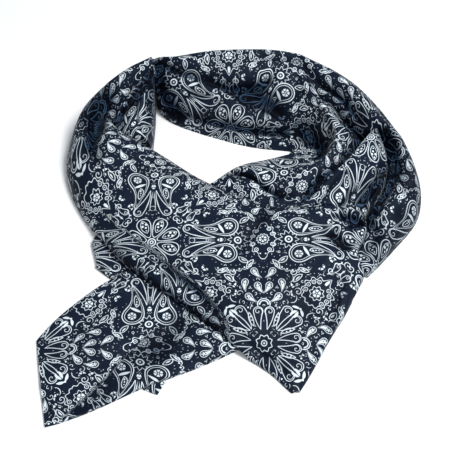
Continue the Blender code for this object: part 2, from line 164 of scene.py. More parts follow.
@dataclass(frozen=True)
class Section:
    """Cross section of a stretch at one point of its two plan lines, in millimetres.

    Args:
        inner: place on the inner plan line, counted in its points.
        outer: place on the outer plan line, counted in its points.
        rim_in: height of the inner rim.
        crest: height of the crest.
        crest_at: fraction across at which the crest lies.
        rim_out: height of the outer rim.
        full_in: fullness of the flank towards the inner rim, 1 for a straight slope.
        full_out: fullness of the flank towards the outer rim.
    """

    inner: float
    outer: float
    rim_in: float
    crest: float
    crest_at: float
    rim_out: float
    full_in: float
    full_out: float


@dataclass(frozen=True)
class Crease:
    """Soft trough or ridge that runs along a stretch.

    Args:
        path: (place along, fraction across) knots in order along the stretch.
        depth: height added at each knot, in millimetres, below zero for a trough.
        width: half width of the outer side, in millimetres.
        sharp: width of the inner side against that of the outer side.
        slip: cloth tucked out of sight at each knot, in millimetres.
        shade: painted shade, how much darker the fold's depth makes the cloth's colour.
    """

    path: tuple[Place, ...]
    depth: tuple[float, ...]
    width: float
    sharp: float = 1.0
    slip: tuple[float, ...] = ()
    shade: float = 1.0

    def reaches(self, station: float) -> bool:
        """Tell whether the fold crosses the section at a station."""
        return self.path[0][0] <= station <= self.path[-1][0]

    def read(self, station: float, values: tuple[float, ...]) -> float:
        """Read a value given at the knots."""
        return float(np.interp(station, [knot[0] for knot in self.path], values))

    def offset(self, station: float, across: np.ndarray, width: float) -> np.ndarray:
        """Distance outwards from the fold's line, in millimetres."""
        return (across - self.read(station, tuple(knot[1] for knot in self.path))) * width

    def height(self, station: float, across: np.ndarray, width: float) -> np.ndarray:
        """Height that the fold adds across a section.

        Args:
            station: place on the inner line.
            across: fractions across the section.
            width: the section's width in millimetres.

        Returns:
            Heights in millimetres.
        """
        reach = self.offset(station, across, width) / self.width
        reach = np.where(reach < 0.0, reach / self.sharp, reach)
        return self.read(station, self.depth) * np.exp(-reach * reach)

    def hidden(self, station: float, across: np.ndarray, width: float) -> np.ndarray:
        """Cloth tucked away before each point across a section."""
        step = np.clip(self.offset(station, across, width) / TUCK_WIDTH + 0.5, 0.0, 1.0)
        return self.read(station, self.slip) * step


@dataclass(frozen=True)
class PrintPlace:
    """Where the flat cloth's print lies on a stretch.

    Args:
        shift: cloth millimetres added to the plan place at the anchor.
        anchor: fraction along the stretch where the cloth is lined up with the plan.
        turns: (fraction along, degrees) pairs, how far the cloth's print has turned with the band.
    """

    shift: Pair
    anchor: float
    turns: tuple[Pair, ...]


@dataclass(frozen=True)
class Meeting:
    """Row of a neighbour's grid that a stretch starts on without a break.

    Args:
        surface: the neighbour's row of the top surface, in millimetres.
        cloth: the same row on the flat cloth.
        first: fraction across the neighbour where the stretch's inner side meets it.
        last: fraction across the neighbour where the stretch's outer side meets it.
        ease: fraction of the stretch over which it takes its own form.
    """

    surface: np.ndarray
    cloth: np.ndarray
    first: float = 0.0
    last: float = 1.0
    ease: float = 0.16

    def rows(self, across: np.ndarray) -> tuple[np.ndarray, np.ndarray]:
        """Read the neighbour's row at the stretch's own points.

        Args:
            across: fractions across the stretch.

        Returns:
            The surface points and the cloth points.
        """
        known = spread_across(np.linspace(0.0, 1.0, len(self.surface)))
        wanted = self.first + (self.last - self.first) * across
        return tuple(np.stack([np.interp(wanted, known, column) for column in table.T], axis=-1)
                     for table in (self.surface, self.cloth))


def smooth_sample(values: np.ndarray | list[tuple[float, ...]], place: float) -> np.ndarray:
    """Read rows of values at a fractional index, averaged over one step so that corners round.

    Args:
        values: one row of numbers for each index.
        place: fractional index into the rows.

    Returns:
        The averaged row.
    """
    table = np.asarray(values, dtype=float)
    indices = np.arange(len(table))
    reach = min(0.5, place, len(table) - 1 - place)
    places = place + np.linspace(-reach, reach, SMOOTH_SAMPLES)
    return np.array([np.mean(np.interp(places, indices, column)) for column in table.T])


def spread_across(share: np.ndarray) -> np.ndarray:
    """Bring points across a section closer together near its two rims."""
    return 0.5 * share + 0.25 * (1.0 - np.cos(np.pi * share))


def flank(rim: float, crest: float, distance: np.ndarray, fullness: float) -> np.ndarray:
    """Height of a flank that falls from its crest, at distance 0, to its rim, at distance 1."""
    inside = np.clip(distance, 0.0, 1.0)
    return rim + (crest - rim) * (1.0 - inside ** fullness) ** (1.0 / fullness)


def turned(vectors: np.ndarray, degrees: np.ndarray) -> np.ndarray:
    """Turn plan vectors anticlockwise.

    Args:
        vectors: the vectors.
        degrees: the angle for each of them.

    Returns:
        The turned vectors.
    """
    angle = np.radians(degrees)
    x, y = vectors[..., 0], vectors[..., 1]
    return np.stack([x * np.cos(angle) - y * np.sin(angle), x * np.sin(angle) + y * np.cos(angle)], -1)


@dataclass
class Stretch:
    """One stretch of the folded band: a closed hollow shell of cloth between two plan lines.

    Args:
        name: name of the finished piece.
        nodes: solids that the piece stands for.
        inner: name of the plan line on the band's inner side.
        outer: name of the plan line on the band's outer side.
        along: cells along the stretch.
        across: cells across the stretch.
        sections: cross sections from one end to the other.
        creases: folds pressed into or raised from the surface.
        place: where the print lies.
        flat: width and length of the cloth that shows, in metres; not used.
        held: how the cloth is held; not used.
        rests_on: pieces or solids that carry it; not used.
        underside: how it is closed below.
        ripple: unevenness of the limp silk, in millimetres.
        meets: what it starts on.
        surface: the top surface once it is laid out.
        cloth: the flat cloth's place at each point of the surface.
        shade: painted shade at each point, which grows with how deep it lies in the folds.
    """

    name: str
    nodes: tuple[str, ...]
    inner: str
    outer: str
    along: int
    across: int
    sections: list[Section]
    creases: list[Crease]
    place: PrintPlace
    flat: Pair
    held: str = "folded"
    rests_on: tuple[str, ...] = ()
    underside: Underside = Underside.FLAT
    ripple: float = 0.25
    meets: Meeting | None = None
    surface: np.ndarray = field(init=False, repr=False)
    cloth: np.ndarray = field(init=False, repr=False)
    shade: np.ndarray = field(init=False, repr=False)

    def section_at(self, progress: float) -> tuple[float, float, np.ndarray]:
        """Read the sections at a progress from 0 to 1.

        Args:
            progress: fraction along the stretch.

        Returns:
            The place on the inner line, the place on the outer line and the six shape numbers.
        """
        at = progress * (len(self.sections) - 1)
        indices = np.arange(len(self.sections))
        inner = float(np.interp(at, indices, [row.inner for row in self.sections]))
        outer = float(np.interp(at, indices, [row.outer for row in self.sections]))
        rows = [(row.rim_in, row.crest, row.crest_at, row.rim_out, row.full_in, row.full_out)
                for row in self.sections]
        return inner, outer, smooth_sample(rows, at)

    def folds_at(self, station: float, across: np.ndarray, width: float) -> np.ndarray:
        """Sum the folds over one section.

        Args:
            station: place on the inner line.
            across: fractions across the section.
            width: the section's width in millimetres.

        Returns:
            Rows of the height that the folds add, the cloth that they hide and their painted shade.
        """
        height, hidden, shade = np.zeros((3, len(across)))
        for crease in self.creases:
            if crease.reaches(station):
                rise = crease.height(station, across, width)
                height += rise
                # Painted shade grows with the depth of each trough.
                shade += crease.shade * np.maximum(-rise, 0.0)
                if crease.slip:
                    hidden += crease.hidden(station, across, width)
        return np.stack([height, hidden, shade])

    def ripples(self, x: np.ndarray, y: np.ndarray) -> np.ndarray:
        """Slight unevenness of limp silk.

        Args:
            x: plan places from left to right.
            y: plan places from front to back.

        Returns:
            Heights in millimetres.
        """
        # Waves about 110 mm and 30 mm long, bent so that they don't lie in straight rows.
        broad = np.sin(x * 0.061 + 1.7 * np.sin(y * 0.043)) * np.cos(y * 0.052 - 1.1 * np.sin(x * 0.037))
        fine = np.sin(x * 0.21 + y * 0.13 + 2.0 * np.sin(y * 0.071)) * np.sin(y * 0.17 - x * 0.09)
        return self.ripple * (1.6 * broad + 0.5 * fine)

    def lay_row(self, row: int, across: np.ndarray) -> tuple[np.ndarray, np.ndarray, np.ndarray]:
        """Work out one row of the grid.

        Args:
            row: the row's number.
            across: fractions across the stretch.

        Returns:
            The row's surface points, the cloth hidden before each of them and their painted shade.
        """
        inner, outer, shape = self.section_at(row / self.along)
        rim_in, crest, crest_at, rim_out, full_in, full_out = shape
        start = smooth_sample(LINES[self.inner], inner)
        end = smooth_sample(LINES[self.outer], outer)
        width = max(float(np.linalg.norm(end - start)), LEAST_WIDTH)
        inset = min(SEAM_GAP / width, MOST_INSET)
        reach = inset + (1.0 - 2.0 * inset) * across
        plan = start + (end - start) * reach[:, None]
        height = np.where(
            across < crest_at,
            flank(rim_in, crest, (crest_at - across) / crest_at, full_in),
            flank(rim_out, crest, (across - crest_at) / (1.0 - crest_at), full_out))
        shelter = np.minimum(np.minimum(across, 1.0 - across) * width / RIM_SHELTER, 1.0)
        folds, hidden, shade = self.folds_at(inner, across, width)
        folds = folds + self.ripples(plan[:, 0], plan[:, 1])
        top = np.maximum(height + folds * shelter, EDGE_WALL)
        return np.column_stack([plan, top]), hidden, shade

    def lay_out(self) -> None:
        """Work out the top surface and the flat cloth's place at every point of the grid."""
        across = spread_across(np.linspace(0.0, 1.0, self.across + 1))
        rows = [self.lay_row(row, across) for row in range(self.along + 1)]
        self.surface, hidden, self.shade = (np.stack(parts) for parts in zip(*rows))
        ease = self.join_surface(across) if self.meets else None
        self.cloth = self.cloth_places(hidden)
        if self.meets:
            self.join_cloth(across, ease)

    def join_surface(self, across: np.ndarray) -> np.ndarray:
        """Start on the neighbour's row and ease into the stretch's own form.

        Args:
            across: fractions across the stretch.

        Returns:
            How much of the neighbour each row still follows.
        """
        share = np.clip(np.linspace(0.0, 1.0, self.along + 1) / self.meets.ease, 0.0, 1.0)
        ease = 1.0 - share * share * (3.0 - 2.0 * share)
        target, _ = self.meets.rows(across)
        self.surface += ease[:, None, None] * (target - self.surface[0])[None]
        return ease

    def join_cloth(self, across: np.ndarray, ease: np.ndarray) -> None:
        """Let the print run on from the neighbour's row.

        Args:
            across: fractions across the stretch.
            ease: how much of the neighbour each row still follows.
        """
        _, target = self.meets.rows(across)
        gap = target - self.cloth[0]
        mean = gap.mean(axis=0)
        self.cloth += mean + ease[:, None, None] * (gap - mean)[None]

    def cloth_places(self, hidden: np.ndarray) -> np.ndarray:
        """Unroll the surface into the flat cloth.

        Args:
            hidden: length tucked away before each point of the grid, in millimetres.

        Returns:
            Flat cloth places for the grid, in millimetres.
        """
        surface = self.surface
        middle = self.across // 2
        steps = np.linalg.norm(np.diff(surface, axis=1), axis=2)
        reach = np.concatenate([np.zeros((len(surface), 1)), np.cumsum(steps, axis=1)], axis=1)
        reach = reach + hidden
        reach -= reach[:, middle:middle + 1]
        side = surface[:, -1, :2] - surface[:, 0, :2]
        side /= np.linalg.norm(side, axis=1)[:, None]
        shares = np.linspace(0.0, 1.0, self.along + 1)
        turns = np.interp(shares, *zip(*self.place.turns))
        spine = surface[:, middle]
        run = np.diff(spine, axis=0)
        stretch = np.linalg.norm(run, axis=1) / np.maximum(np.linalg.norm(run[:, :2], axis=1), TINY)
        moves = turned(run[:, :2] * np.minimum(stretch, SLOPE_LIMIT)[:, None], -turns[1:])
        path = np.concatenate([np.zeros((1, 2)), np.cumsum(moves, axis=0)])
        anchor = int(round(self.place.anchor * self.along))
        path += spine[anchor, :2] - path[anchor] + np.array(self.place.shift)
        return path[:, None, :] + turned(side, -turns)[:, None, :] * reach[:, :, None]

    def outward(self) -> np.ndarray:
        """Direction on the flat cloth in which each rim point's wall goes on, zero inside the rim.

        Returns:
            One unit vector for each point of the grid.
        """
        ways = np.zeros_like(self.cloth)
        for edge, beside in ((np.s_[:, 0], np.s_[:, 1]), (np.s_[:, -1], np.s_[:, -2]),
                             (np.s_[0], np.s_[1]), (np.s_[-1], np.s_[-2])):
            step = self.cloth[edge] - self.cloth[beside]
            ways[edge] += step / np.maximum(np.linalg.norm(step, axis=-1), TINY)[..., None]
        return ways / np.maximum(np.linalg.norm(ways, axis=-1), 1.0)[..., None]

    def grid_mesh(self) -> tuple[bmesh.types.BMesh, dict[int, tuple[int, int]]]:
        """Start a mesh with the top surface.

        Returns:
            The mesh and the grid place of each of its vertices.
        """
        bm = bmesh.new()
        bmesh.ops.create_grid(bm, x_segments=self.along, y_segments=self.across, size=0.5)
        bm.verts.index_update()
        places: dict[int, tuple[int, int]] = {}
        for vertex in bm.verts:
            row = round((vertex.co.x + 0.5) * self.along)
            column = round((vertex.co.y + 0.5) * self.across)
            places[vertex.index] = (row, column)
            x, y, z = self.surface[row, column]
            vertex.co = Vector(((x - CENTRE_X) * MM, (y - CENTRE_Y) * MM, z * MM))
        return bm, places

    def build(self, tree: BVHTree | None = None) -> bpy.types.Object:
        """Build the closed shell.

        Args:
            tree: search tree of what the cloth is draped over.

        Returns:
            The finished object.
        """
        self.lay_out()
        bm, places = self.grid_mesh()
        uv_layer = bm.loops.layers.uv.new("cloth")
        tag = bm.verts.layers.int.new("grid")
        # Painted shade for the colour, kept on each vertex.
        shade = bm.verts.layers.float.new("painted_fold_shade")
        for vertex in bm.verts:
            row, column = places[vertex.index]
            vertex[tag] = row * GRID_TAG + column
            vertex[shade] = self.shade[row, column]
        if self.underside is Underside.FLAT:
            close_flat(bm)
        else:
            close_draped(bm, tree)
        ways = self.outward()
        for vertex in bm.verts:
            spot = divmod(vertex[tag], GRID_TAG)
            drop = self.surface[spot][2] - vertex.co.z / MM
            place = Vector(self.cloth[spot] + ways[spot] * drop) * MM
            for loop in vertex.link_loops:
                loop[uv_layer].uv = place
        bmesh.ops.recalc_face_normals(bm, faces=bm.faces[:])
        mesh = bpy.data.meshes.new(self.name)
        bm.to_mesh(mesh)
        bm.free()
        mesh.shade_smooth()
        mesh.set_sharp_from_angle(angle=math.radians(SHARP_ANGLE))
        item = bpy.data.objects.new(self.name, mesh)
        bpy.context.scene.collection.objects.link(item)
        wall = item.modifiers.new("cloth wall", "SOLIDIFY")
        wall.thickness = CLOTH_WALL * MM
        wall.offset = -1.0
        return item

    def dress(self, item: bpy.types.Object, silk: bpy.types.Material) -> None:
        """Give the piece its finish, hide the solids that it stands for and hang it under the frame's root
        body.

        Args:
            item: the finished piece.
            silk: the cloth's material.
        """
        item.data.materials.append(silk)
        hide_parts(*self.nodes)
        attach(item, "root")


def close_flat(bm: bmesh.types.BMesh) -> None:
    """Drop walls from the rim to the ground and close the flat underside.

    Args:
        bm: mesh of the top surface.
    """
    rim = [edge for edge in bm.edges if edge.is_boundary]
    skirt = bmesh.ops.extrude_edge_only(bm, edges=rim)["geom"]
    for vertex in (item for item in skirt if isinstance(item, bmesh.types.BMVert)):
        vertex.co.z = 0.0
    foot = [edge for edge in bm.edges if edge.is_boundary]
    underside = bmesh.ops.contextual_create(bm, geom=foot)["faces"]
    bmesh.ops.triangulate(bm, faces=underside)


def rest_height(tree: BVHTree, x: float, y: float) -> float:
    """Height on which cloth rests at a plan place: the highest lower layer in reach, or the ground.

    Args:
        tree: search tree of the lower layers.
        x: the place from left to right, in metres.
        y: the place from front to back, in metres.

    Returns:
        The height in metres.
    """
    highest = 0.0
    for reach in DRAPE_RINGS:
        fall = max(reach - DRAPE_FLAT, 0.0) * DRAPE_SLOPE
        for turn in range(DRAPE_TURNS if reach else 1):
            angle = 2.0 * math.pi * turn / DRAPE_TURNS
            step = Vector((math.cos(angle), math.sin(angle), 0.0)) * (reach * MM)
            hit = tree.ray_cast(Vector((x, y, DRAPE_LOOKOUT)) + step, Vector((0.0, 0.0, -1.0)))[0]
            if hit is not None:
                highest = max(highest, hit.z + (DRAPE_GAP - fall) * MM)
    return highest


def close_draped(bm: bmesh.types.BMesh, tree: BVHTree) -> None:
    """Close a stretch with an underside that rests on the lower layers and on the ground.

    Args:
        bm: mesh of the top surface.
        tree: search tree of the lower layers.
    """
    copied = bmesh.ops.duplicate(bm, geom=bm.verts[:] + bm.edges[:] + bm.faces[:])["geom"]
    lower = {item for item in copied if isinstance(item, bmesh.types.BMVert)}
    rim = [edge for edge in bm.edges if edge.is_boundary and edge.verts[0] not in lower]
    skirt = bmesh.ops.extrude_edge_only(bm, edges=rim)["geom"]
    lower.update(item for item in skirt if isinstance(item, bmesh.types.BMVert))
    for vertex in lower:
        rest = rest_height(tree, vertex.co.x, vertex.co.y)
        vertex.co.z = min(rest, vertex.co.z - EDGE_WALL * MM)
    bmesh.ops.remove_doubles(bm, verts=list(lower), dist=TINY)


def search_tree(items: list[bpy.types.Object]) -> BVHTree:
    """Search tree of the pieces that cloth is draped over.

    Args:
        items: the pieces.

    Returns:
        The search tree.
    """
    joined = bmesh.new()
    for item in items:
        joined.from_mesh(item.data)
    tree = BVHTree.FromBMesh(joined)
    joined.free()
    return tree


@dataclass
class TailUnder(Stretch):
    """The tail that comes out below at the left."""

    name: str = "scarf_tail_under"
    nodes: tuple[str, ...] = ("tail_under",)
    inner: str = "under_left"
    outer: str = "under_right"
    along: int = 170
    across: int = 90
    # Inner and outer place, inner rim, crest and where it lies, outer rim, inner and outer fullness.
    sections: list[Section] = field(default_factory=lambda: [
        Section(0.0, 0.0, 6.0, 9.5, 0.5, 6.0, 2.0, 2.0),
        Section(1.0, 1.0, 7.0, 10.0, 0.5, 7.0, 2.0, 2.0),
        Section(2.0, 2.0, 7.0, 10.0, 0.5, 7.0, 2.0, 2.0),
        Section(3.0, 3.2, 7.0, 10.0, 0.5, 6.0, 2.0, 2.0),
        Section(4.0, 4.6, 5.0, 9.5, 0.45, 4.0, 1.7, 1.6),
        Section(5.0, 6.0, 4.0, 9.0, 0.45, 3.0, 1.6, 1.5),
        Section(6.0, 7.2, 3.0, 8.0, 0.45, 2.6, 1.6, 1.5),
        Section(7.0, 8.2, 2.4, 6.0, 0.45, 2.0, 1.6, 1.5),
        Section(8.0, 9.0, 1.6, 3.2, 0.5, 1.6, 1.6, 1.5),
    ])
    # Path of places along and fractions across, depths, width, sharpness, tucked cloth, painted shade.
    creases: list[Crease] = field(default_factory=lambda: [
        Crease(((3.6, 0.60), (5.8, 0.52), (8.0, 0.55)), (0.8, 1.8, 0.8), 7.0),
        Crease(((4.0, 0.58), (4.4, 0.62), (5.04, 0.70), (5.46, 0.78), (5.84, 0.84), (6.4, 0.91), (6.9, 0.97)),
               (0.0, -2.0, -2.8, -3.0, -3.0, -2.6, -1.0), 22.0, 0.05,
               (0.0, 6.0, 14.0, 18.0, 20.0, 20.0, 20.0), 1.4),
        Crease(((4.0, 0.22), (5.8, 0.28), (7.6, 0.34)), (-0.6, -2.2, -0.6), 9.0),
        # Shallow trough with strong painted shade where the front panel's edge lies over the tail.
        Crease(((2.6, 0.50), (3.6, 0.62), (4.4, 0.78), (5.0, 0.90)), (0.0, -2.0, -2.0, 0.0), 14.0, shade=2.4),
    ])
    place: PrintPlace = PrintPlace((0.0, 0.0), 0.6, ((0.0, 0.0), (1.0, 0.0)))
    flat: Pair = (0.20, 0.275)


@dataclass
class UnderLayerLeft(Stretch):
    """The corner of the lowest layer that peeps out at the left."""

    name: str = "scarf_under_layer_left"
    nodes: tuple[str, ...] = ("under_layer_left",)
    inner: str = "peep_left_inner"
    outer: str = "peep_left_outer"
    along: int = 72
    across: int = 18
    # Inner and outer place, inner rim, crest and where it lies, outer rim, inner and outer fullness.
    sections: list[Section] = field(default_factory=lambda: [
        Section(0.0, 0.0, 6.0, 6.0, 0.5, 4.0, 1.5, 1.5),
        Section(0.9, 1.0, 6.0, 6.0, 0.5, 4.0, 1.5, 1.5),
        Section(1.3, 3.5, 6.0, 6.0, 0.5, 4.0, 1.5, 1.5),
        Section(1.7, 6.0, 5.0, 5.0, 0.5, 3.0, 1.5, 1.5),
        Section(3.0, 7.0, 4.0, 4.0, 0.5, 2.4, 1.5, 1.5),
    ])
    # Path of places along and fractions across, depths, width, sharpness, tucked cloth, painted shade.
    creases: list[Crease] = field(default_factory=lambda: [
        # Nearly flat crease that mostly paints shade over the corner.
        Crease(((0.0, 0.1), (4.0, 0.1)), (-0.3, -0.3), 9.0, shade=8.0),
    ])
    place: PrintPlace = PrintPlace((0.0, 0.0), 0.5, ((0.0, 0.0), (1.0, 0.0)))
    flat: Pair = (0.034, 0.052)
    ripple: float = 0.1


@dataclass
class UnderLayerLow(Stretch):
    """The corner of the lowest layer that peeps out below."""

    name: str = "scarf_under_layer_low"
    nodes: tuple[str, ...] = ("under_layer_low",)
    inner: str = "peep_low_inner"
    outer: str = "peep_low_outer"
    along: int = 48
    across: int = 12
    # Inner and outer place, inner rim, crest and where it lies, outer rim, inner and outer fullness.
    sections: list[Section] = field(default_factory=lambda: [
        Section(0.0, 0.0, 1.4, 1.4, 0.5, 1.3, 1.0, 1.0),
        Section(0.3, 1.0, 1.4, 1.4, 0.5, 1.3, 1.0, 1.0),
        Section(0.4, 3.0, 1.4, 1.4, 0.5, 1.3, 1.0, 1.0),
        Section(1.0, 4.0, 1.4, 1.4, 0.5, 1.3, 1.0, 1.0),
    ])
    creases: list[Crease] = field(default_factory=list)
    place: PrintPlace = PrintPlace((0.0, 0.0), 0.5, ((0.0, 0.0), (1.0, 0.0)))
    flat: Pair = (0.012, 0.02)
    ripple: float = 0.0


@dataclass
class FrontPanel(Stretch):
    """The left side of the band, the front panel and the tail that crosses on top, in one cloth."""

    name: str = "scarf_left_and_front"
    nodes: tuple[str, ...] = ("left_stretch", "tail_over")
    inner: str = "left_inside"
    outer: str = "left_outline"
    along: int = 230
    across: int = 84
    # Inner and outer place, inner rim, crest and where it lies, outer rim, inner and outer fullness.
    sections: list[Section] = field(default_factory=lambda: [
        Section(0.0, 0.0, 44.0, 54.0, 0.58, 1.2, 1.6, 2.0),
        Section(1.0, 1.0, 41.0, 55.0, 0.50, 1.2, 1.6, 2.0),
        Section(2.0, 2.0, 30.0, 52.0, 0.50, 1.2, 1.5, 2.0),
        Section(3.0, 3.0, 21.0, 46.0, 0.55, 1.2, 1.4, 2.0),
        Section(4.0, 4.2, 18.0, 40.0, 0.58, 1.2, 1.5, 2.0),
        Section(5.0, 5.0, 27.0, 36.0, 0.50, 1.2, 1.8, 2.1),
        Section(6.0, 6.0, 11.0, 34.0, 0.48, 1.2, 2.0, 2.2),
        Section(7.0, 7.0, 9.0, 31.0, 0.48, 1.2, 1.8, 2.2),
        Section(8.0, 8.0, 9.0, 30.0, 0.50, 1.2, 1.8, 2.2),
        Section(9.0, 9.0, 11.0, 29.0, 0.52, 1.2, 1.8, 2.2),
        Section(10.0, 10.0, 19.0, 28.0, 0.50, 3.0, 1.8, 2.2),
        Section(11.0, 11.0, 23.0, 28.0, 0.50, 7.0, 1.8, 2.2),
        Section(12.0, 12.0, 24.0, 28.0, 0.48, 11.0, 1.8, 2.2),
        Section(13.0, 13.0, 29.0, 30.0, 0.30, 13.5, 1.8, 2.1),
        Section(14.0, 14.0, 28.0, 30.0, 0.25, 14.0, 1.8, 1.9),
        Section(15.0, 15.0, 20.0, 28.0, 0.30, 14.0, 1.8, 1.8),
        Section(16.0, 16.0, 18.0, 27.0, 0.40, 14.0, 1.8, 1.7),
        Section(17.0, 17.0, 18.0, 25.0, 0.45, 13.5, 1.8, 1.7),
        Section(18.0, 18.0, 15.0, 22.0, 0.50, 9.0, 1.8, 1.7),
        Section(19.0, 19.0, 8.0, 18.0, 0.50, 3.0, 1.8, 1.7),
        Section(20.0, 19.6, 5.0, 15.5, 0.50, 2.4, 1.8, 1.7),
        Section(21.0, 20.0, 4.0, 13.5, 0.50, 2.2, 1.8, 1.7),
        Section(22.0, 20.5, 3.4, 11.5, 0.50, 2.0, 1.8, 1.7),
        Section(23.0, 21.0, 2.8, 9.5, 0.50, 2.0, 1.8, 1.7),
        Section(24.0, 21.6, 2.0, 6.0, 0.50, 1.8, 1.8, 1.7),
        Section(25.0, 22.0, 1.5, 3.0, 0.50, 1.5, 1.8, 1.7),
    ])
    # Path of places along and fractions across, depths, width, sharpness, tucked cloth, painted shade.
    creases: list[Crease] = field(default_factory=lambda: [
        Crease(((2.4, 0.30), (3.04, 0.32), (3.8, 0.35), (4.57, 0.50), (4.89, 0.56), (5.6, 0.66), (6.2, 0.69),
                (7.07, 0.71), (8.0, 0.72)), (-4.0, -10.0, -14.0, -17.0, -16.0, -12.0, -8.0, -3.0, 0.0), 8.0),
        Crease(((2.6, 0.62), (4.1, 0.76), (5.6, 0.80)), (0.0, -4.5, 0.0), 5.0),
        Crease(((0.0, 0.66), (1.8, 0.72), (3.6, 0.70)), (-2.0, -4.0, 0.0), 5.0),
        Crease(((7.5, 0.80), (9.57, 0.90), (10.98, 0.905), (11.74, 0.88), (13.04, 0.87), (14.35, 0.885),
                (15.0, 0.885), (16.09, 0.905), (16.85, 0.94), (17.6, 0.99)),
               (0.0, -0.6, -1.2, -1.7, -2.2, -4.8, -5.4, -4.2, -2.4, 0.0), 9.0, 0.16,
               (0.0, 0.0, 8.0, 16.0, 24.0, 26.0, 26.0, 26.0, 26.0, 26.0), 1.5),
        # Shallow crease that mostly paints shade along the outer rim over the tail.
        Crease(((10.5, 0.98), (12.6, 1.0), (15.6, 1.0), (18.2, 1.0)),
               (0.0, -0.5, -0.9, -0.4), 5.0, shade=8.0),
        Crease(((17.0, 0.93), (19.2, 0.93), (21.5, 0.90), (23.8, 0.84)), (0.0, -3.2, -3.2, 0.0), 6.0, 0.15),
        Crease(((11.0, 0.04), (11.3, 0.06), (13.15, 0.32), (13.8, 0.47), (14.35, 0.59), (15.0, 0.62)),
               (-2.0, -4.0, -5.0, -4.5, -3.0, 0.0), 10.0, 0.8),
        Crease(((15.0, 0.24), (15.54, 0.19), (16.2, 0.15), (16.85, 0.08), (17.3, 0.04)),
               (0.0, -7.0, -8.0, -6.0, 0.0), 6.5, 0.6, shade=1.5),
        Crease(((14.0, 0.08), (14.6, 0.06), (15.4, 0.05), (15.9, 0.04)),
               (0.0, -8.0, -8.0, 0.0), 8.5, shade=1.6),
        Crease(((14.6, 0.16), (17.8, 0.26), (21.0, 0.36)), (0.0, 2.2, 0.0), 11.0),
        Crease(((17.5, 0.16), (19.5, 0.20), (21.5, 0.20), (23.0, 0.20)),
               (0.0, -3.0, -3.0, 0.0), 10.0, shade=1.6),
        Crease(((15.2, 0.46), (18.6, 0.52), (22.0, 0.58)), (0.0, -2.6, 0.0), 10.0),
        Crease(((6.6, 0.30), (8.4, 0.42), (10.4, 0.60)), (0.0, -2.4, 0.0), 9.0),
        # Shallow crease that mostly paints shade down the outer flank.
        Crease(((0.0, 0.99), (1.5, 1.0), (6.0, 1.0), (8.5, 0.99), (10.0, 0.98)),
               (-0.2, -0.25, -0.3, -0.3, 0.0), 14.0, shade=8.0),
    ])
    place: PrintPlace = PrintPlace((0.0, 0.0), 0.44, ((0.0, -60.0), (0.2, -45.0), (0.36, 0.0), (1.0, 0.0)))
    flat: Pair = (0.20, 0.505)
    rests_on: tuple[str, ...] = ("scarf_tail_under",)
    underside: Underside = Underside.DRAPED


@dataclass
class LeftInnerFold(Stretch):
    """The inner layer turned up beside the neck opening on the left."""

    name: str = "scarf_left_inner_fold"
    nodes: tuple[str, ...] = ("left_inner_fold",)
    inner: str = "opening_left"
    outer: str = "left_inside"
    along: int = 110
    across: int = 60
    # Inner and outer place, inner rim, crest and where it lies, outer rim, inner and outer fullness.
    sections: list[Section] = field(default_factory=lambda: [
        Section(0.0, 0.3, 46.0, 53.0, 0.45, 43.0, 1.6, 1.6),
        Section(1.0, 1.0, 34.0, 51.0, 0.42, 40.0, 1.6, 1.6),
        Section(2.0, 2.0, 24.0, 48.0, 0.40, 29.0, 1.6, 1.6),
        Section(3.0, 3.0, 16.0, 43.0, 0.40, 20.0, 1.6, 1.6),
        Section(4.0, 3.9, 12.0, 38.0, 0.40, 17.0, 1.6, 1.6),
        Section(4.9, 4.9, 9.0, 31.0, 0.45, 25.0, 1.6, 1.6),
    ])
    # Path of places along and fractions across, depths, width, sharpness, tucked cloth, painted shade.
    creases: list[Crease] = field(default_factory=lambda: [
        Crease(((0.2, 0.64), (1.32, 0.59), (2.09, 0.60), (2.77, 0.67), (3.73, 0.85), (4.4, 0.95)),
               (-3.0, -8.0, -11.0, -12.0, -10.0, -5.0), 7.0),
        Crease(((0.4, 0.40), (2.41, 0.44), (3.86, 0.38), (4.9, 0.30)), (-2.0, -5.0, -4.0, -2.0), 3.4, 0.6),
        Crease(((0.4, 0.26), (1.68, 0.16), (2.91, 0.13), (4.74, 0.13)), (-2.0, -3.0, -3.0, -1.0), 2.6, 0.5),
        # Shallow crease that mostly paints shade along the opening's edge.
        Crease(((0.0, 0.0), (2.4, 0.0), (4.9, 0.0)), (-0.7, -0.6, -0.3), 4.0, shade=8.0),
    ])
    place: PrintPlace = PrintPlace((0.0, 0.0), 0.5, ((0.0, -45.0), (1.0, -45.0)))
    flat: Pair = (0.105, 0.096)


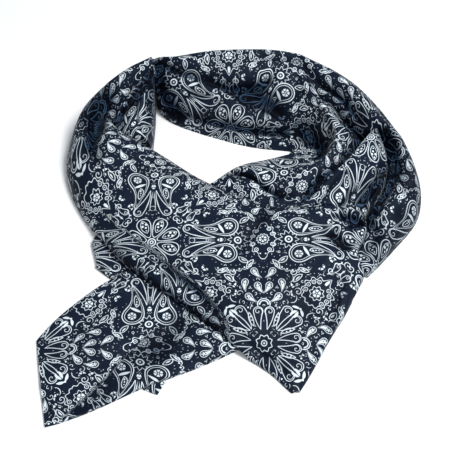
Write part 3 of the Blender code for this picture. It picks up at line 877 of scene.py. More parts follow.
@dataclass
class BackBand(Stretch):
    """The band at the back of the loop."""

    name: str = "scarf_back"
    nodes: tuple[str, ...] = ("back_stretch",)
    inner: str = "opening_back"
    outer: str = "back_outline"
    along: int = 150
    across: int = 110
    # Inner and outer place, inner rim, crest and where it lies, outer rim, inner and outer fullness.
    sections: list[Section] = field(default_factory=lambda: [
        Section(0.0, 0.1, 36.0, 55.0, 0.60, 1.2, 1.3, 2.0),
        Section(1.0, 0.5, 8.0, 57.0, 0.70, 1.2, 1.3, 2.0),
        Section(2.0, 1.0, 3.0, 58.0, 0.74, 1.2, 1.3, 2.0),
        Section(3.0, 2.0, 2.0, 60.0, 0.77, 1.2, 1.3, 2.0),
        Section(4.5, 3.0, 2.0, 62.0, 0.78, 1.2, 1.3, 2.0),
        Section(6.0, 4.0, 2.0, 62.0, 0.78, 1.2, 1.3, 2.0),
        Section(7.5, 5.0, 2.0, 61.0, 0.78, 1.2, 1.3, 2.0),
        Section(9.0, 6.0, 2.0, 59.0, 0.78, 1.2, 1.3, 2.0),
    ])
    # Path of places along and fractions across, depths, width, sharpness, tucked cloth, painted shade.
    creases: list[Crease] = field(default_factory=lambda: [
        Crease(((0.0, 0.60), (0.6, 0.62), (1.63, 0.63), (2.57, 0.56), (3.33, 0.51), (4.24, 0.48),
                (5.15, 0.43), (5.85, 0.43), (6.69, 0.47), (7.18, 0.52), (7.8, 0.60)),
               (0.0, -6.0, -8.0, -7.0, -6.0, -7.0, -9.0, -9.0, -10.0, -8.0, 0.0), 3.2, 1.8),
        Crease(((5.2, 0.34), (5.9, 0.35), (6.6, 0.36), (7.3, 0.33), (8.0, 0.27), (8.8, 0.20)),
               (0.0, -7.0, -10.0, -11.0, -9.0, -4.0), 9.0, shade=0.9),
        Crease(((0.0, 0.34), (0.5, 0.28), (1.17, 0.26), (1.54, 0.19), (2.05, 0.14), (2.43, 0.12),
                (3.0, 0.10)),
               (-1.0, -8.0, -14.0, -12.0, -9.0, -6.0, 0.0), 8.0),
        Crease(((2.2, 0.10), (3.75, 0.10), (5.5, 0.105), (7.04, 0.11), (8.0, 0.11), (9.0, 0.12)),
               (-3.0, -6.0, -6.5, -6.5, -6.0, -5.0), 4.0, shade=1.2),
        Crease(((2.4, 0.03), (5.5, 0.035), (8.6, 0.035)), (1.0, 3.0, 1.0), 3.0),
        Crease(((2.0, 0.24), (3.4, 0.30), (4.8, 0.26)), (0.0, -5.0, 0.0), 4.0, 0.7),
        Crease(((2.4, 0.88), (4.7, 0.90), (7.0, 0.88)), (0.0, -4.0, 0.0), 5.0),
        Crease(((0.4, 0.80), (2.4, 0.78), (4.2, 0.74)), (0.0, -3.5, 0.0), 4.0, 0.6),
        Crease(((5.4, 0.70), (7.2, 0.72), (9.0, 0.74)), (0.0, -4.0, -5.0), 4.0, 0.7),
    ])
    place: PrintPlace = PrintPlace((0.0, 0.0), 0.5, ((0.0, -45.0), (1.0, -45.0)))
    flat: Pair = (0.21, 0.175)


@dataclass
class RightBand(Stretch):
    """The outer layer down the right side."""

    name: str = "scarf_right"
    nodes: tuple[str, ...] = ("right_stretch",)
    inner: str = "right_inside"
    outer: str = "right_outline"
    along: int = 210
    across: int = 80
    # Inner and outer place, inner rim, crest and where it lies, outer rim, inner and outer fullness.
    sections: list[Section] = field(default_factory=lambda: [
        Section(0.0, 0.0, 41.0, 58.0, 0.55, 1.2, 1.5, 2.0),
        Section(1.0, 2.0, 30.0, 57.0, 0.55, 1.2, 1.5, 2.0),
        Section(2.0, 3.5, 26.0, 55.0, 0.50, 1.2, 1.5, 2.0),
        Section(3.0, 5.0, 23.0, 51.0, 0.50, 1.2, 1.5, 2.0),
        Section(4.0, 6.0, 21.0, 46.0, 0.50, 1.2, 1.5, 2.0),
        Section(5.0, 6.4, 19.0, 43.0, 0.50, 1.2, 1.5, 2.0),
        Section(6.0, 7.2, 18.0, 37.0, 0.48, 1.2, 1.5, 2.0),
        Section(7.0, 8.0, 20.0, 32.0, 0.45, 1.2, 1.5, 2.1),
        Section(8.0, 9.0, 19.0, 29.0, 0.45, 1.2, 1.5, 2.1),
        Section(9.0, 10.2, 17.0, 27.0, 0.45, 1.2, 1.5, 2.1),
        Section(10.0, 11.2, 15.0, 25.0, 0.45, 1.2, 1.5, 2.1),
        Section(11.0, 12.0, 13.0, 23.0, 0.45, 1.2, 1.5, 2.1),
        Section(12.0, 13.0, 12.0, 20.0, 0.42, 1.2, 1.5, 2.1),
        Section(13.0, 13.8, 12.0, 17.0, 0.40, 1.2, 1.5, 2.1),
        Section(14.0, 14.4, 11.0, 14.0, 0.38, 1.2, 1.5, 2.0),
        Section(15.0, 15.0, 6.0, 7.0, 0.36, 1.2, 1.5, 2.0),
    ])
    # Path of places along and fractions across, depths, width, sharpness, tucked cloth, painted shade.
    creases: list[Crease] = field(default_factory=lambda: [
        Crease(((0.0, 0.10), (0.93, 0.15), (1.64, 0.21), (2.5, 0.21), (3.29, 0.20), (4.2, 0.20)),
               (-4.0, -6.0, -7.0, -7.0, -5.0, 0.0), 4.0, 0.7),
        Crease(((1.0, 0.62), (3.5, 0.70), (6.0, 0.74)), (0.0, -5.0, 0.0), 5.0),
        Crease(((4.0, 0.16), (4.79, 0.20), (5.93, 0.16), (7.0, 0.12), (8.5, 0.10), (10.2, 0.12),
                (11.4, 0.14)),
               (0.0, -6.0, -8.0, -7.0, -6.0, -5.0, 0.0), 7.0, shade=1.3),
        Crease(((6.6, 0.20), (7.29, 0.24), (8.07, 0.40), (8.57, 0.56), (9.3, 0.60)),
               (0.0, -4.0, -4.5, -4.0, 0.0), 8.0, shade=0.8),
        Crease(((11.2, 0.10), (11.64, 0.15), (12.07, 0.35), (12.64, 0.36), (13.5, 0.24), (14.0, 0.18)),
               (0.0, -4.0, -4.5, -4.5, -3.0, 0.0), 6.0),
        Crease(((9.4, 0.60), (10.6, 0.66), (12.4, 0.60)), (0.0, -3.5, 0.0), 6.0),
        Crease(((7.0, 0.30), (9.8, 0.26), (12.6, 0.30)), (0.0, 1.8, 0.0), 5.0),
        # Shallow crease that mostly paints shade beside the flap's edge.
        Crease(((0.6, 0.01), (3.0, 0.02), (5.0, 0.03), (8.0, 0.04), (11.0, 0.06), (12.4, 0.06)),
               (0.0, -0.8, -1.0, -1.0, -1.0, 0.0), 6.0, shade=8.0),
        # Shallow crease that mostly paints shade down the outer flank.
        Crease(((0.0, 1.0), (4.0, 1.0), (8.0, 1.0), (14.0, 1.0)), (-0.4, -0.5, -0.5, -0.4), 16.0, shade=8.0),
    ])
    place: PrintPlace = PrintPlace((0.0, 0.0), 0.0, ((0.0, -45.0), (1.0, -45.0)))
    flat: Pair = (0.13, 0.26)


@dataclass
class RightInnerRoll(Stretch):
    """The rolled inner edge at the right of the opening."""

    name: str = "scarf_right_inner_roll"
    nodes: tuple[str, ...] = ("right_inner_roll",)
    inner: str = "opening_right"
    outer: str = "roll_outside"
    along: int = 200
    across: int = 80
    # Inner and outer place, inner rim, crest and where it lies, outer rim, inner and outer fullness.
    sections: list[Section] = field(default_factory=lambda: [
        Section(0.0, 0.0, 2.0, 50.0, 0.84, 41.0, 1.25, 1.8),
        Section(1.0, 1.0, 4.0, 50.0, 0.76, 29.0, 1.05, 1.8),
        Section(2.0, 2.0, 6.0, 48.0, 0.66, 25.0, 0.80, 1.8),
        Section(3.0, 3.0, 8.0, 46.0, 0.61, 22.0, 0.66, 1.8),
        Section(4.0, 4.0, 9.0, 43.0, 0.58, 20.0, 0.62, 1.8),
        Section(5.0, 5.0, 9.0, 41.0, 0.58, 20.0, 0.62, 1.8),
        Section(6.0, 6.0, 9.0, 38.0, 0.66, 19.0, 0.66, 1.8),
        Section(7.0, 7.0, 9.0, 34.0, 0.68, 17.0, 0.74, 1.8),
        Section(8.0, 8.0, 10.0, 30.0, 0.64, 16.0, 0.9, 1.8),
        Section(9.0, 9.0, 11.0, 27.0, 0.58, 16.0, 1.3, 1.8),
        Section(10.0, 10.0, 12.0, 25.0, 0.50, 19.0, 1.7, 1.8),
        Section(11.0, 11.0, 12.0, 24.0, 0.50, 18.0, 1.8, 1.8),
        Section(12.0, 12.0, 11.0, 21.0, 0.50, 15.0, 1.8, 1.8),
        Section(13.0, 13.0, 10.0, 13.0, 0.50, 12.0, 1.8, 1.8),
    ])
    # Path of places along and fractions across, depths, width, sharpness, tucked cloth, painted shade.
    creases: list[Crease] = field(default_factory=lambda: [
        Crease(((0.0, 0.26), (1.1, 0.31), (2.15, 0.34), (3.45, 0.38), (5.2, 0.42), (6.3, 0.50), (6.9, 0.55)),
               (-5.0, -7.0, -9.0, -10.0, -9.0, -7.0, 0.0), 8.0),
        Crease(((2.0, 0.80), (4.5, 0.84), (7.0, 0.86)), (0.0, -4.5, 0.0), 4.0),
        Crease(((6.0, 0.22), (7.4, 0.30), (9.5, 0.30)), (0.0, 2.8, 0.0), 4.0),
        Crease(((9.0, 0.82), (10.08, 0.75), (10.53, 0.70), (10.86, 0.58), (11.05, 0.36), (11.44, 0.21),
                (12.3, 0.14)),
               (0.0, -4.0, -6.0, -7.0, -7.0, -6.0, 0.0), 7.0, 0.7, shade=1.6),
        Crease(((6.4, 0.88), (8.0, 0.91), (9.6, 0.93)), (0.0, -6.0, -2.0), 6.0, shade=1.4),
        Crease(((0.0, 0.60), (1.4, 0.86), (2.6, 0.92)), (-3.0, -3.5, 0.0), 4.0),
        # Shallow crease that mostly paints shade beside the flap's edge.
        Crease(((2.2, 0.97), (3.2, 0.96), (6.0, 0.96), (8.4, 0.96), (9.8, 0.95)),
               (0.0, -1.0, -1.1, -1.1, 0.0), 6.0, shade=9.0),
    ])
    place: PrintPlace = PrintPlace((0.0, 0.0), 0.0, ((0.0, -45.0), (1.0, -45.0)))
    flat: Pair = (0.135, 0.235)


@dataclass
class RightFlap(Stretch):
    """The turned-over layer on top of the right side."""

    name: str = "scarf_right_flap"
    nodes: tuple[str, ...] = ("right_flap",)
    inner: str = "flap_left"
    outer: str = "flap_right"
    along: int = 120
    across: int = 70
    # Inner and outer place, inner rim, crest and where it lies, outer rim, inner and outer fullness.
    sections: list[Section] = field(default_factory=lambda: [
        Section(0.0, 0.0, 41.0, 42.0, 0.40, 41.0, 1.5, 1.5),
        Section(1.0, 1.0, 43.0, 46.0, 0.35, 27.0, 1.5, 1.7),
        Section(2.0, 2.0, 41.0, 45.0, 0.35, 24.0, 1.5, 1.8),
        Section(3.0, 3.0, 38.0, 43.0, 0.35, 22.0, 1.5, 1.9),
        Section(4.0, 4.0, 32.0, 39.0, 0.40, 19.0, 1.5, 1.9),
        Section(5.0, 5.0, 26.0, 34.0, 0.45, 18.0, 1.5, 1.9),
        Section(6.0, 6.0, 23.0, 30.0, 0.48, 17.0, 1.6, 1.9),
    ])
    # Path of places along and fractions across, depths, width, sharpness, tucked cloth, painted shade.
    creases: list[Crease] = field(default_factory=lambda: [
        Crease(((2.0, 0.36), (3.2, 0.44), (4.4, 0.50)), (0.0, 2.4, 0.0), 8.0),
        Crease(((3.6, 0.70), (4.45, 0.62), (5.3, 0.59), (6.0, 0.61)), (0.0, -5.0, -6.0, -5.0), 5.0, 0.6),
        Crease(((1.8, 0.92), (2.6, 0.90), (3.6, 0.88), (4.6, 0.86), (5.8, 0.86)),
               (0.0, -6.0, -8.0, -8.0, -7.0), 7.0, shade=1.1),
        Crease(((3.2, 0.14), (4.4, 0.20), (6.0, 0.24)), (0.0, -3.5, -3.5), 4.0, 0.7),
        # Shallow crease that mostly paints shade along the flap's inner edge.
        Crease(((2.8, 0.0), (3.6, 0.02), (5.0, 0.03), (6.0, 0.03)), (0.0, -0.7, -0.9, -0.7), 4.0, shade=8.0),
    ])
    place: PrintPlace = PrintPlace((3.4, 94.4), 0.3, ((0.0, -15.0), (1.0, -15.0)))
    flat: Pair = (0.115, 0.135)


def about(centre: Place, degrees: float, away: float) -> Place:
    """Place at an angle and distance from a centre."""
    angle = math.radians(degrees)
    return centre[0] + away * math.cos(angle), centre[1] + away * math.sin(angle)


def towards(start: Place, end: Place, share: float) -> Place:
    """Place part of the way from one place to another."""
    return start[0] + (end[0] - start[0]) * share, start[1] + (end[1] - start[1]) * share


def arc_circle(start: Place, end: Place, rise: float) -> tuple[Place, float]:
    """Circle through two points whose arc rises to the left of the way from start to end.

    Args:
        start: first point.
        end: second point.
        rise: height of the arc over its chord.

    Returns:
        The centre and the radius.
    """
    along = np.subtract(end, start)
    chord = float(np.linalg.norm(along))
    left = np.array([-along[1], along[0]]) / chord
    radius = (chord * chord / 4.0 + rise * rise) / (2.0 * rise)
    centre = (np.array(start) + np.array(end)) / 2.0 - left * (radius - rise)
    return (float(centre[0]), float(centre[1])), abs(radius)


@dataclass
class Drawing:
    """Pen that draws with shader nodes on the flat cloth, in millimetres.

    Every shape is a signed distance: below zero inside it, above zero outside.

    Args:
        tree: the material's nodes.
        point: the place on the cloth that is drawn on.
    """

    tree: bpy.types.NodeTree
    point: Socket | None = None

    def fill(self, node: bpy.types.Node, values: tuple[Setting, ...]) -> bpy.types.Node:
        """Set or link a node's inputs in order.

        Args:
            node: the node.
            values: numbers, vectors or sockets.

        Returns:
            The same node.
        """
        for socket, value in zip(node.inputs, values):
            if isinstance(value, Socket):
                self.tree.links.new(value, socket)
            else:
                socket.default_value = value
        return node

    def math(self, operation: str, *values: Value) -> Socket:
        """Add a Math node.

        Args:
            operation: what it works out.
            values: its inputs in order.

        Returns:
            Its result.
        """
        node = self.tree.nodes.new("ShaderNodeMath")
        node.operation = operation
        return self.fill(node, values).outputs[0]

    def vector(self, operation: str, *values: Setting) -> bpy.types.Node:
        """Add a Vector Math node.

        Args:
            operation: what it works out.
            values: its inputs in order.

        Returns:
            The node, whose first output is a vector and whose second is a number.
        """
        node = self.tree.nodes.new("ShaderNodeVectorMath")
        node.operation = operation
        return self.fill(node, values)

    def parts(self, vector: Socket) -> tuple[Socket, Socket]:
        """Split a vector.

        Args:
            vector: the vector.

        Returns:
            Its x and y.
        """
        node = self.tree.nodes.new("ShaderNodeSeparateXYZ")
        self.fill(node, (vector,))
        return node.outputs[0], node.outputs[1]

    def join(self, x: Value, y: Value) -> Socket:
        """Make a vector from x and y."""
        return self.fill(self.tree.nodes.new("ShaderNodeCombineXYZ"), (x, y)).outputs[0]

    def gather(self, operation: str, shapes: list[Value]) -> Socket:
        """Combine shapes in pairs until one is left.

        Args:
            operation: Math operation that combines two shapes.
            shapes: the shapes.

        Returns:
            The shape that is left.
        """
        while len(shapes) > 1:
            pairs = [self.math(operation, *shapes[i:i + 2]) for i in range(0, len(shapes) - 1, 2)]
            shapes = pairs + (shapes[-1:] if len(shapes) % 2 else [])
        return shapes[0]

    def either(self, *shapes: Value) -> Socket:
        """Join shapes."""
        return self.gather("MINIMUM", list(shapes))

    def both(self, *shapes: Value) -> Socket:
        """Keep what lies in every shape."""
        return self.gather("MAXIMUM", list(shapes))

    def outside(self, shape: Value) -> Socket:
        """Turn a shape inside out."""
        return self.math("MULTIPLY", shape, -1.0)

    def grown(self, shape: Value, reach: float) -> Socket:
        """Grow a shape on all sides, or make a disc of the distance from its centre."""
        return self.math("SUBTRACT", shape, reach)

    def beyond(self, reading: Value, limit: float) -> Socket:
        """Keep the places whose distance or angle is past a limit."""
        return self.math("SUBTRACT", limit, reading)

    def line(self, shape: Value, half: float, inset: float = 0.0) -> Socket:
        """Draw the outline of a shape with a line of half its width, run inside the edge by the inset."""
        edge = self.math("ADD", shape, inset) if inset else shape
        return self.math("SUBTRACT", self.math("ABSOLUTE", edge), half)

    def disc(self, centre: Place, radius: float) -> Socket:
        """Draw a filled disc."""
        away = self.vector("DISTANCE", self.point, (*centre, 0.0)).outputs[1]
        return self.math("SUBTRACT", away, radius)

    def ring(self, centre: Place, radius: float, half: float = 0.35) -> Socket:
        """Draw a circle's line."""
        return self.line(self.disc(centre, radius), half)

    def leaf(self, start: Place, end: Place, half: float, lean: float = 0.0) -> Socket:
        """Draw a leaf between two tips.

        Args:
            start: first tip.
            end: second tip.
            half: half of its width.
            lean: how far it leans to the left of its way.

        Returns:
            The leaf.
        """
        if lean <= half:
            left = self.disc(*arc_circle(start, end, half + lean))
            right = self.disc(*arc_circle(start, end, lean - half if lean < half else NEARLY_STRAIGHT))
            return self.both(left, right)
        outer = self.disc(*arc_circle(start, end, lean + half))
        inner = self.disc(*arc_circle(start, end, lean - half))
        return self.both(outer, self.outside(inner))

    def stroke(self, start: Place, end: Place, rise: float, half: float = 0.42) -> Socket:
        """Draw a brush stroke that swells in its middle.

        Args:
            start: first tip.
            end: second tip.
            rise: how far it arches to the left of its way.
            half: half of its greatest width.

        Returns:
            The stroke.
        """
        if rise < 0.0:
            return self.leaf(end, start, half, -rise)
        return self.leaf(start, end, half, rise)

    def frame_at(self, centre: Place, facing: float) -> Socket:
        """Move and turn the drawing place so that a motif can be drawn about its own centre.

        Args:
            centre: the motif's centre.
            facing: direction that the motif faces, in degrees.

        Returns:
            Place in the motif's frame.
        """
        node = self.tree.nodes.new("ShaderNodeMapping")
        node.vector_type = "TEXTURE"
        self.fill(node, (self.point, (*centre, 0.0), (0.0, 0.0, math.radians(facing))))
        return node.outputs[0]

    def bent(self, local: Socket, bend: float) -> Socket:
        """Bend a motif's frame so that what lies behind its centre curves sideways.

        Args:
            local: place in the motif's frame.
            bend: how strongly it curves.

        Returns:
            Place in the bent frame.
        """
        x, y = self.parts(local)
        back = self.math("MINIMUM", x, 0.0)
        return self.join(x, self.math("MULTIPLY_ADD", self.math("MULTIPLY", back, back), -bend, y))

    def comma(self, local: Socket, radius: float, length: float) -> Socket:
        """Draw a round end at the centre with a tail that thins out behind it.

        Args:
            local: place in the comma's own frame.
            radius: radius of the round end.
            length: length of the tail.

        Returns:
            The shape.
        """
        x, y = self.parts(local)
        share = self.math("MULTIPLY", x, -1.0 / length)
        share.node.use_clamp = True
        along = self.math("MULTIPLY_ADD", share, length, x)
        away = self.vector("LENGTH", self.join(along, y)).outputs[1]
        left_over = self.math("SUBTRACT", 1.0, share)
        reach = self.math("MULTIPLY", self.math("POWER", left_over, TAIL_TAPER), radius)
        return self.math("SUBTRACT", away, reach)

    def scroll(self, centre: Place, facing: float, radius: float, length: float, bend: float,
               half: float) -> tuple[list[Value], Socket]:
        """Draw the outline of a bent comma with a curl in its round end.

        Args:
            centre: centre of the round end.
            facing: direction that the round end faces, in degrees.
            radius: radius of the round end.
            length: length of the tail.
            bend: sideways curve of the tail.
            half: half width of the line.

        Returns:
            The lines and the whole shape.
        """
        local = self.frame_at(centre, facing)
        shape = self.comma(self.bent(local, bend), radius, length)
        away, angle = self.round_about(local, False)
        turn = angle if bend > 0.0 else self.math("MULTIPLY", angle, -1.0)
        pitch, reach, thin = radius * 0.72, radius - 0.2, half * 0.75
        curl = self.curl(away, turn, pitch, reach, thin)
        return [self.line(shape, half), curl], shape

    def round_about(self, local: Socket, mirrored: bool) -> tuple[Socket, Socket]:
        """Distance and angle about a motif's centre.

        Args:
            local: place in the motif's frame.
            mirrored: whether both sides of the motif's axis are alike.

        Returns:
            The distance and the angle in radians.
        """
        x, y = self.parts(local)
        if mirrored:
            y = self.math("ABSOLUTE", y)
        return self.vector("LENGTH", local).outputs[1], self.math("ARCTAN2", y, x)

    def contour(self, away: Value, angle: Value, table: list[Pair], mirrored: bool) -> Socket:
        """Draw a closed shape from a table of angles, in degrees, and distances from its centre.

        Args:
            away: distance from the centre.
            angle: angle about the centre.
            table: (degrees, millimetres) pairs.
            mirrored: whether the table runs from 0 to 180 and serves both sides.

        Returns:
            The shape.
        """
        first, span = (0.0, 180.0) if mirrored else (-180.0, 360.0)
        top = max(radius for _, radius in table)
        turn = self.math("MULTIPLY_ADD", angle, 180.0 / math.pi / span, -first / span)
        node = self.tree.nodes.new("ShaderNodeFloatCurve")
        points = node.mapping.curves[0].points
        spots = [((degrees - first) / span, radius / top) for degrees, radius in table]
        points[0].location = spots[0]
        points[1].location = spots[-1]
        for spot in spots[1:-1]:
            points.new(*spot)
        node.mapping.update()
        self.fill(node, (1.0, turn))
        reach = self.math("MULTIPLY", node.outputs[0], top)
        return self.math("SUBTRACT", away, reach)

    def blossom(self, away: Value, angle: Value, petals: int, radius: float, long: float,
                gap: float = 0.42) -> Socket:
        """Draw a small flower of filled petals with dark gaps.

        Args:
            away: distance from its centre.
            angle: angle about its centre.
            petals: number of petals.
            radius: how far out the petals' middles lie.
            long: half of a petal's length.
            gap: half width of the gaps between petals.

        Returns:
            The flower.
        """
        sideways = self.math("MULTIPLY", away, self.math("PINGPONG", angle, math.pi / petals))
        band = self.line(self.grown(away, radius), long)
        return self.both(band, self.beyond(sideways, gap))

    def star(self, away: Value, angle: Value, points: int, deep: float, tip: float) -> Socket:
        """Draw a star.

        Args:
            away: distance from its centre.
            angle: angle about its centre.
            points: number of points.
            deep: distance of its notches from the centre.
            tip: distance of its tips from the centre.

        Returns:
            The star.
        """
        slope = (deep - tip) / (math.pi / points)
        reach = self.math("MULTIPLY_ADD", self.math("PINGPONG", angle, math.pi / points), slope, tip)
        return self.math("SUBTRACT", away, reach)

    def curl(self, away: Value, angle: Value, pitch: float, reach: float, half: float) -> Socket:
        """Draw a spiral line.

        Args:
            away: distance from its centre.
            angle: angle about its centre.
            pitch: distance between its turns.
            reach: distance from the centre at which it ends.
            half: half width of the line.

        Returns:
            The line.
        """
        wound = self.math("MULTIPLY_ADD", angle, -pitch / (2.0 * math.pi), away)
        thread = self.math("SUBTRACT", self.math("PINGPONG", wound, pitch / 2.0), half)
        return self.both(thread, self.grown(away, reach))

    def spread(self, value: Value, low: Pair, high: Pair) -> Socket:
        """Turn a value between two limits into one between two others, smoothly.

        Args:
            value: the value.
            low: its lower limit and what that becomes.
            high: its upper limit and what that becomes.

        Returns:
            The new value.
        """
        node = self.tree.nodes.new("ShaderNodeMapRange")
        node.interpolation_type = "SMOOTHSTEP"
        return self.fill(node, (value, low[0], high[0], low[1], high[1])).outputs[0]

    def noise(self, place: Socket, size: float, detail: float) -> Socket:
        """Make an uneven field.

        Args:
            place: place on the cloth, in millimetres.
            size: size of its spots, in millimetres.
            detail: how much finer unevenness it holds.

        Returns:
            The field.
        """
        node = self.tree.nodes.new("ShaderNodeTexNoise")
        node.noise_dimensions = "2D"
        self.tree.links.new(place, node.inputs["Vector"])
        node.inputs["Scale"].default_value = 1.0 / size
        node.inputs["Detail"].default_value = detail
        return node.outputs[0]

    def varied(self, place: Socket, patch: float, limits: Pair) -> Socket:
        """Let a value vary over the cloth between two limits, in patches of a given size."""
        low, high = zip(NOISE_SWING, limits)
        return self.spread(self.noise(place, patch, 2.0), low, high)


@dataclass
class Motifs:
    """What has been drawn so far.

    Args:
        ink: the inked shapes.
        room: the shapes that the ground pattern keeps clear of.
    """

    ink: list[Value] = field(default_factory=list)
    room: list[Value] = field(default_factory=list)


@dataclass(frozen=True)
class PaisleyPrint:
    """Line print of one repeat, drawn in the eighth of it that mirrors fill out to the whole.

    Args:
        half_repeat: half of the repeat's side, in millimetres.
        bold: half width of the main outlines.
        fine: half width of the thin lines.
        unevenness: how unevenly the ground pattern is scattered, from 0 to 1.
        clearance: space between the ground pattern and the motifs.
    """

    half_repeat: float = 100.0
    bold: float = 0.38
    fine: float = 0.22
    unevenness: float = 0.62
    clearance: float = 1.5

    def fold(self, pen: Drawing, place: Socket) -> None:
        """Bring every place on the cloth into the drawn eighth.

        Args:
            pen: the pen.
            place: place on the cloth, in millimetres.
        """
        x, y = pen.parts(place)
        x = pen.math("PINGPONG", x, self.half_repeat)
        y = pen.math("PINGPONG", y, self.half_repeat)
        pen.point = pen.join(pen.math("MAXIMUM", x, y), pen.math("MINIMUM", x, y))

    def flower(self, pen: Drawing, made: Motifs) -> None:
        """Eight-petalled flower at the repeat's corner.

        Args:
            pen: the pen.
            made: what has been drawn so far.
        """
        away, angle = pen.round_about(pen.frame_at((15.2, 6.3), 22.5), True)
        petal = pen.contour(away, angle, [
            (0, 9.4), (22, 9.2), (45, 8.2), (68, 6.6), (92, 5.6), (118, 5.4), (142, 6.4), (162, 8.6),
            (174, 10.6), (180, 11.2)], True)
        made.ink.append(pen.line(petal, self.bold))
        seeds = (((18.6, 5.4), 1.15), ((16.6, 8.6), 1.15), ((15.2, 5.6), 0.95), ((20.2, 8.6), 0.9),
                 ((12.2, 5.0), 0.6))
        made.ink += [pen.disc(spot, size) for spot, size in seeds]
        made.ink.append(pen.line(pen.leaf((9.6, 4.0), (22.4, 9.3), 3.3), 0.24))
        made.ink += [pen.ring((0.0, 0.0), 3.5, 0.5), pen.ring((0.0, 0.0), 1.4, 0.45)]
        made.room += [petal, pen.disc((0.0, 0.0), 9.0)]

    def fan(self, pen: Drawing, made: Motifs) -> None:
        """Scrolls and straight strands between the flower and the drops.

        Args:
            pen: the pen.
            made: what has been drawn so far.
        """
        lines, shape = pen.scroll((32.4, 12.8), 140.0, 4.5, 25.0, -0.0122, self.bold * 0.9)
        made.ink += lines
        made.ink += [pen.stroke((56.0, 0.5), (33.0, 2.6), -0.4, 0.36),
                     pen.stroke((52.0, 2.2), (36.6, 6.4), 0.5, 0.3)]
        hook, hook_shape = pen.scroll((33.8, 24.6), 250.0, 2.9, 13.0, 0.034, self.fine * 1.2)
        made.ink += hook
        made.room += [pen.grown(shape, 0.8), pen.grown(hook_shape, 0.8)]

    def star_flower(self, pen: Drawing, made: Motifs) -> None:
        """Pointed flower with a ringed eye, on the repeat's edge.

        Args:
            pen: the pen.
            made: what has been drawn so far.
        """
        away, angle = pen.round_about(pen.frame_at((77.0, 0.0), 0.0), True)
        star = pen.star(away, angle, 10, 5.9, 9.2)
        eye = pen.line(pen.grown(away, 2.9), 0.62)
        seed = pen.grown(away, 0.8)
        made.ink += [pen.line(star, self.bold), eye, seed]
        made.room.append(pen.grown(star, 0.6))

    def drop(self, pen: Drawing, made: Motifs) -> None:
        """Drop with a hooked tail, an inner contour, a small flower, a bar and beads.

        Args:
            pen: the pen.
            made: what has been drawn so far.
        """
        inside = Drawing(pen.tree, pen.bent(pen.frame_at((67.4, 14.4), 27.0), 0.0215))
        away, angle = pen.round_about(inside.point, False)
        drop = pen.contour(away, angle, [
            (-180, 27.0), (-176, 24.6), (-168, 18.8), (-155, 14.4), (-135, 11.4), (-110, 10.0), (-80, 9.4),
            (-40, 9.4), (0, 9.6), (40, 9.4), (80, 8.8), (110, 8.8), (135, 9.8), (152, 12.4), (165, 17.0),
            (174, 23.6), (180, 27.0)], False)
        made.ink += [pen.line(drop, self.bold * 1.15), pen.line(drop, 0.24, 2.1)]
        petal_away, petal_angle = pen.round_about(inside.frame_at((1.2, 0.0), 0.0), False)
        made.ink += [inside.blossom(petal_away, petal_angle, 6, 2.5, 1.2), pen.grown(petal_away, 0.6)]
        made.ink.append(inside.leaf((-6.0, -6.2), (-6.0, 6.0), 1.3))
        made.ink.append(pen.line(inside.leaf((-9.0, -0.2), (-19.5, -0.6), 2.6), 0.32))
        made.ink += [inside.disc((-11.6, -0.2), 0.85), inside.disc((-14.0, -0.4), 0.7),
                     inside.disc((-16.2, -0.4), 0.5)]
        made.room.append(pen.grown(drop, 0.6))

    def medallion(self, pen: Drawing, made: Motifs) -> None:
        """Lobed medallion on the diagonal, its tip towards the flower.

        Args:
            pen: the pen.
            made: what has been drawn so far.
        """
        centre, facing = (53.5, 53.5), 225.0
        away, angle = pen.round_about(pen.frame_at(centre, facing), True)
        edge = pen.contour(away, angle, [
            (0, 19.6), (5, 17.2), (12, 14.6), (19, 13.4), (31, 15.6), (43, 13.0), (57, 15.6), (70, 12.9),
            (85, 15.4), (99, 12.4), (113, 14.4), (127, 11.6), (142, 13.4), (157, 11.2), (170, 12.6),
            (180, 11.4)], True)
        made.ink.append(pen.line(edge, self.bold))
        for degrees in (31, 57, 85, 113):
            spot = about(centre, facing + degrees, 11.0 if degrees < 100 else 10.4)
            made.ink += [pen.ring(spot, 1.7, 0.28), pen.disc(spot, 0.45)]
        core = pen.star(away, angle, 8, 6.9, 4.9)
        made.ink += [pen.line(core, 0.34), pen.blossom(away, angle, 5, 2.4, 1.2), pen.grown(away, 0.55)]
        made.ink.append(pen.leaf((41.0, 41.0), (46.4, 45.4), 1.1, 0.2))
        made.room.append(pen.grown(edge, 0.8))

    def edge_medallion(self, pen: Drawing, made: Motifs) -> None:
        """Tall lobed medallion midway along the repeat's edge.

        Args:
            pen: the pen.
            made: what has been drawn so far.
        """
        away, angle = pen.round_about(pen.frame_at((100.0, 0.0), 180.0), True)
        edge = pen.contour(away, angle, [
            (0, 13.6), (6, 11.4), (14, 10.6), (28, 12.8), (40, 11.8), (55, 15.6), (67, 14.4), (80, 18.6),
            (90, 20.8), (100, 18.6), (140, 12.0), (180, 13.0)], True)
        made.ink.append(pen.line(edge, self.bold))
        made.ink += [pen.ring((91.4, 5.2), 1.6, 0.34), pen.ring((94.2, 11.0), 1.7, 0.34),
                     pen.disc((91.4, 5.2), 0.45), pen.disc((94.2, 11.0), 0.5), pen.disc((97.6, 15.2), 0.7)]
        made.ink += [pen.line(pen.star(away, angle, 12, 5.8, 4.5), 0.36),
                     pen.blossom(away, angle, 6, 2.2, 1.2)]
        made.room.append(pen.grown(edge, 0.8))

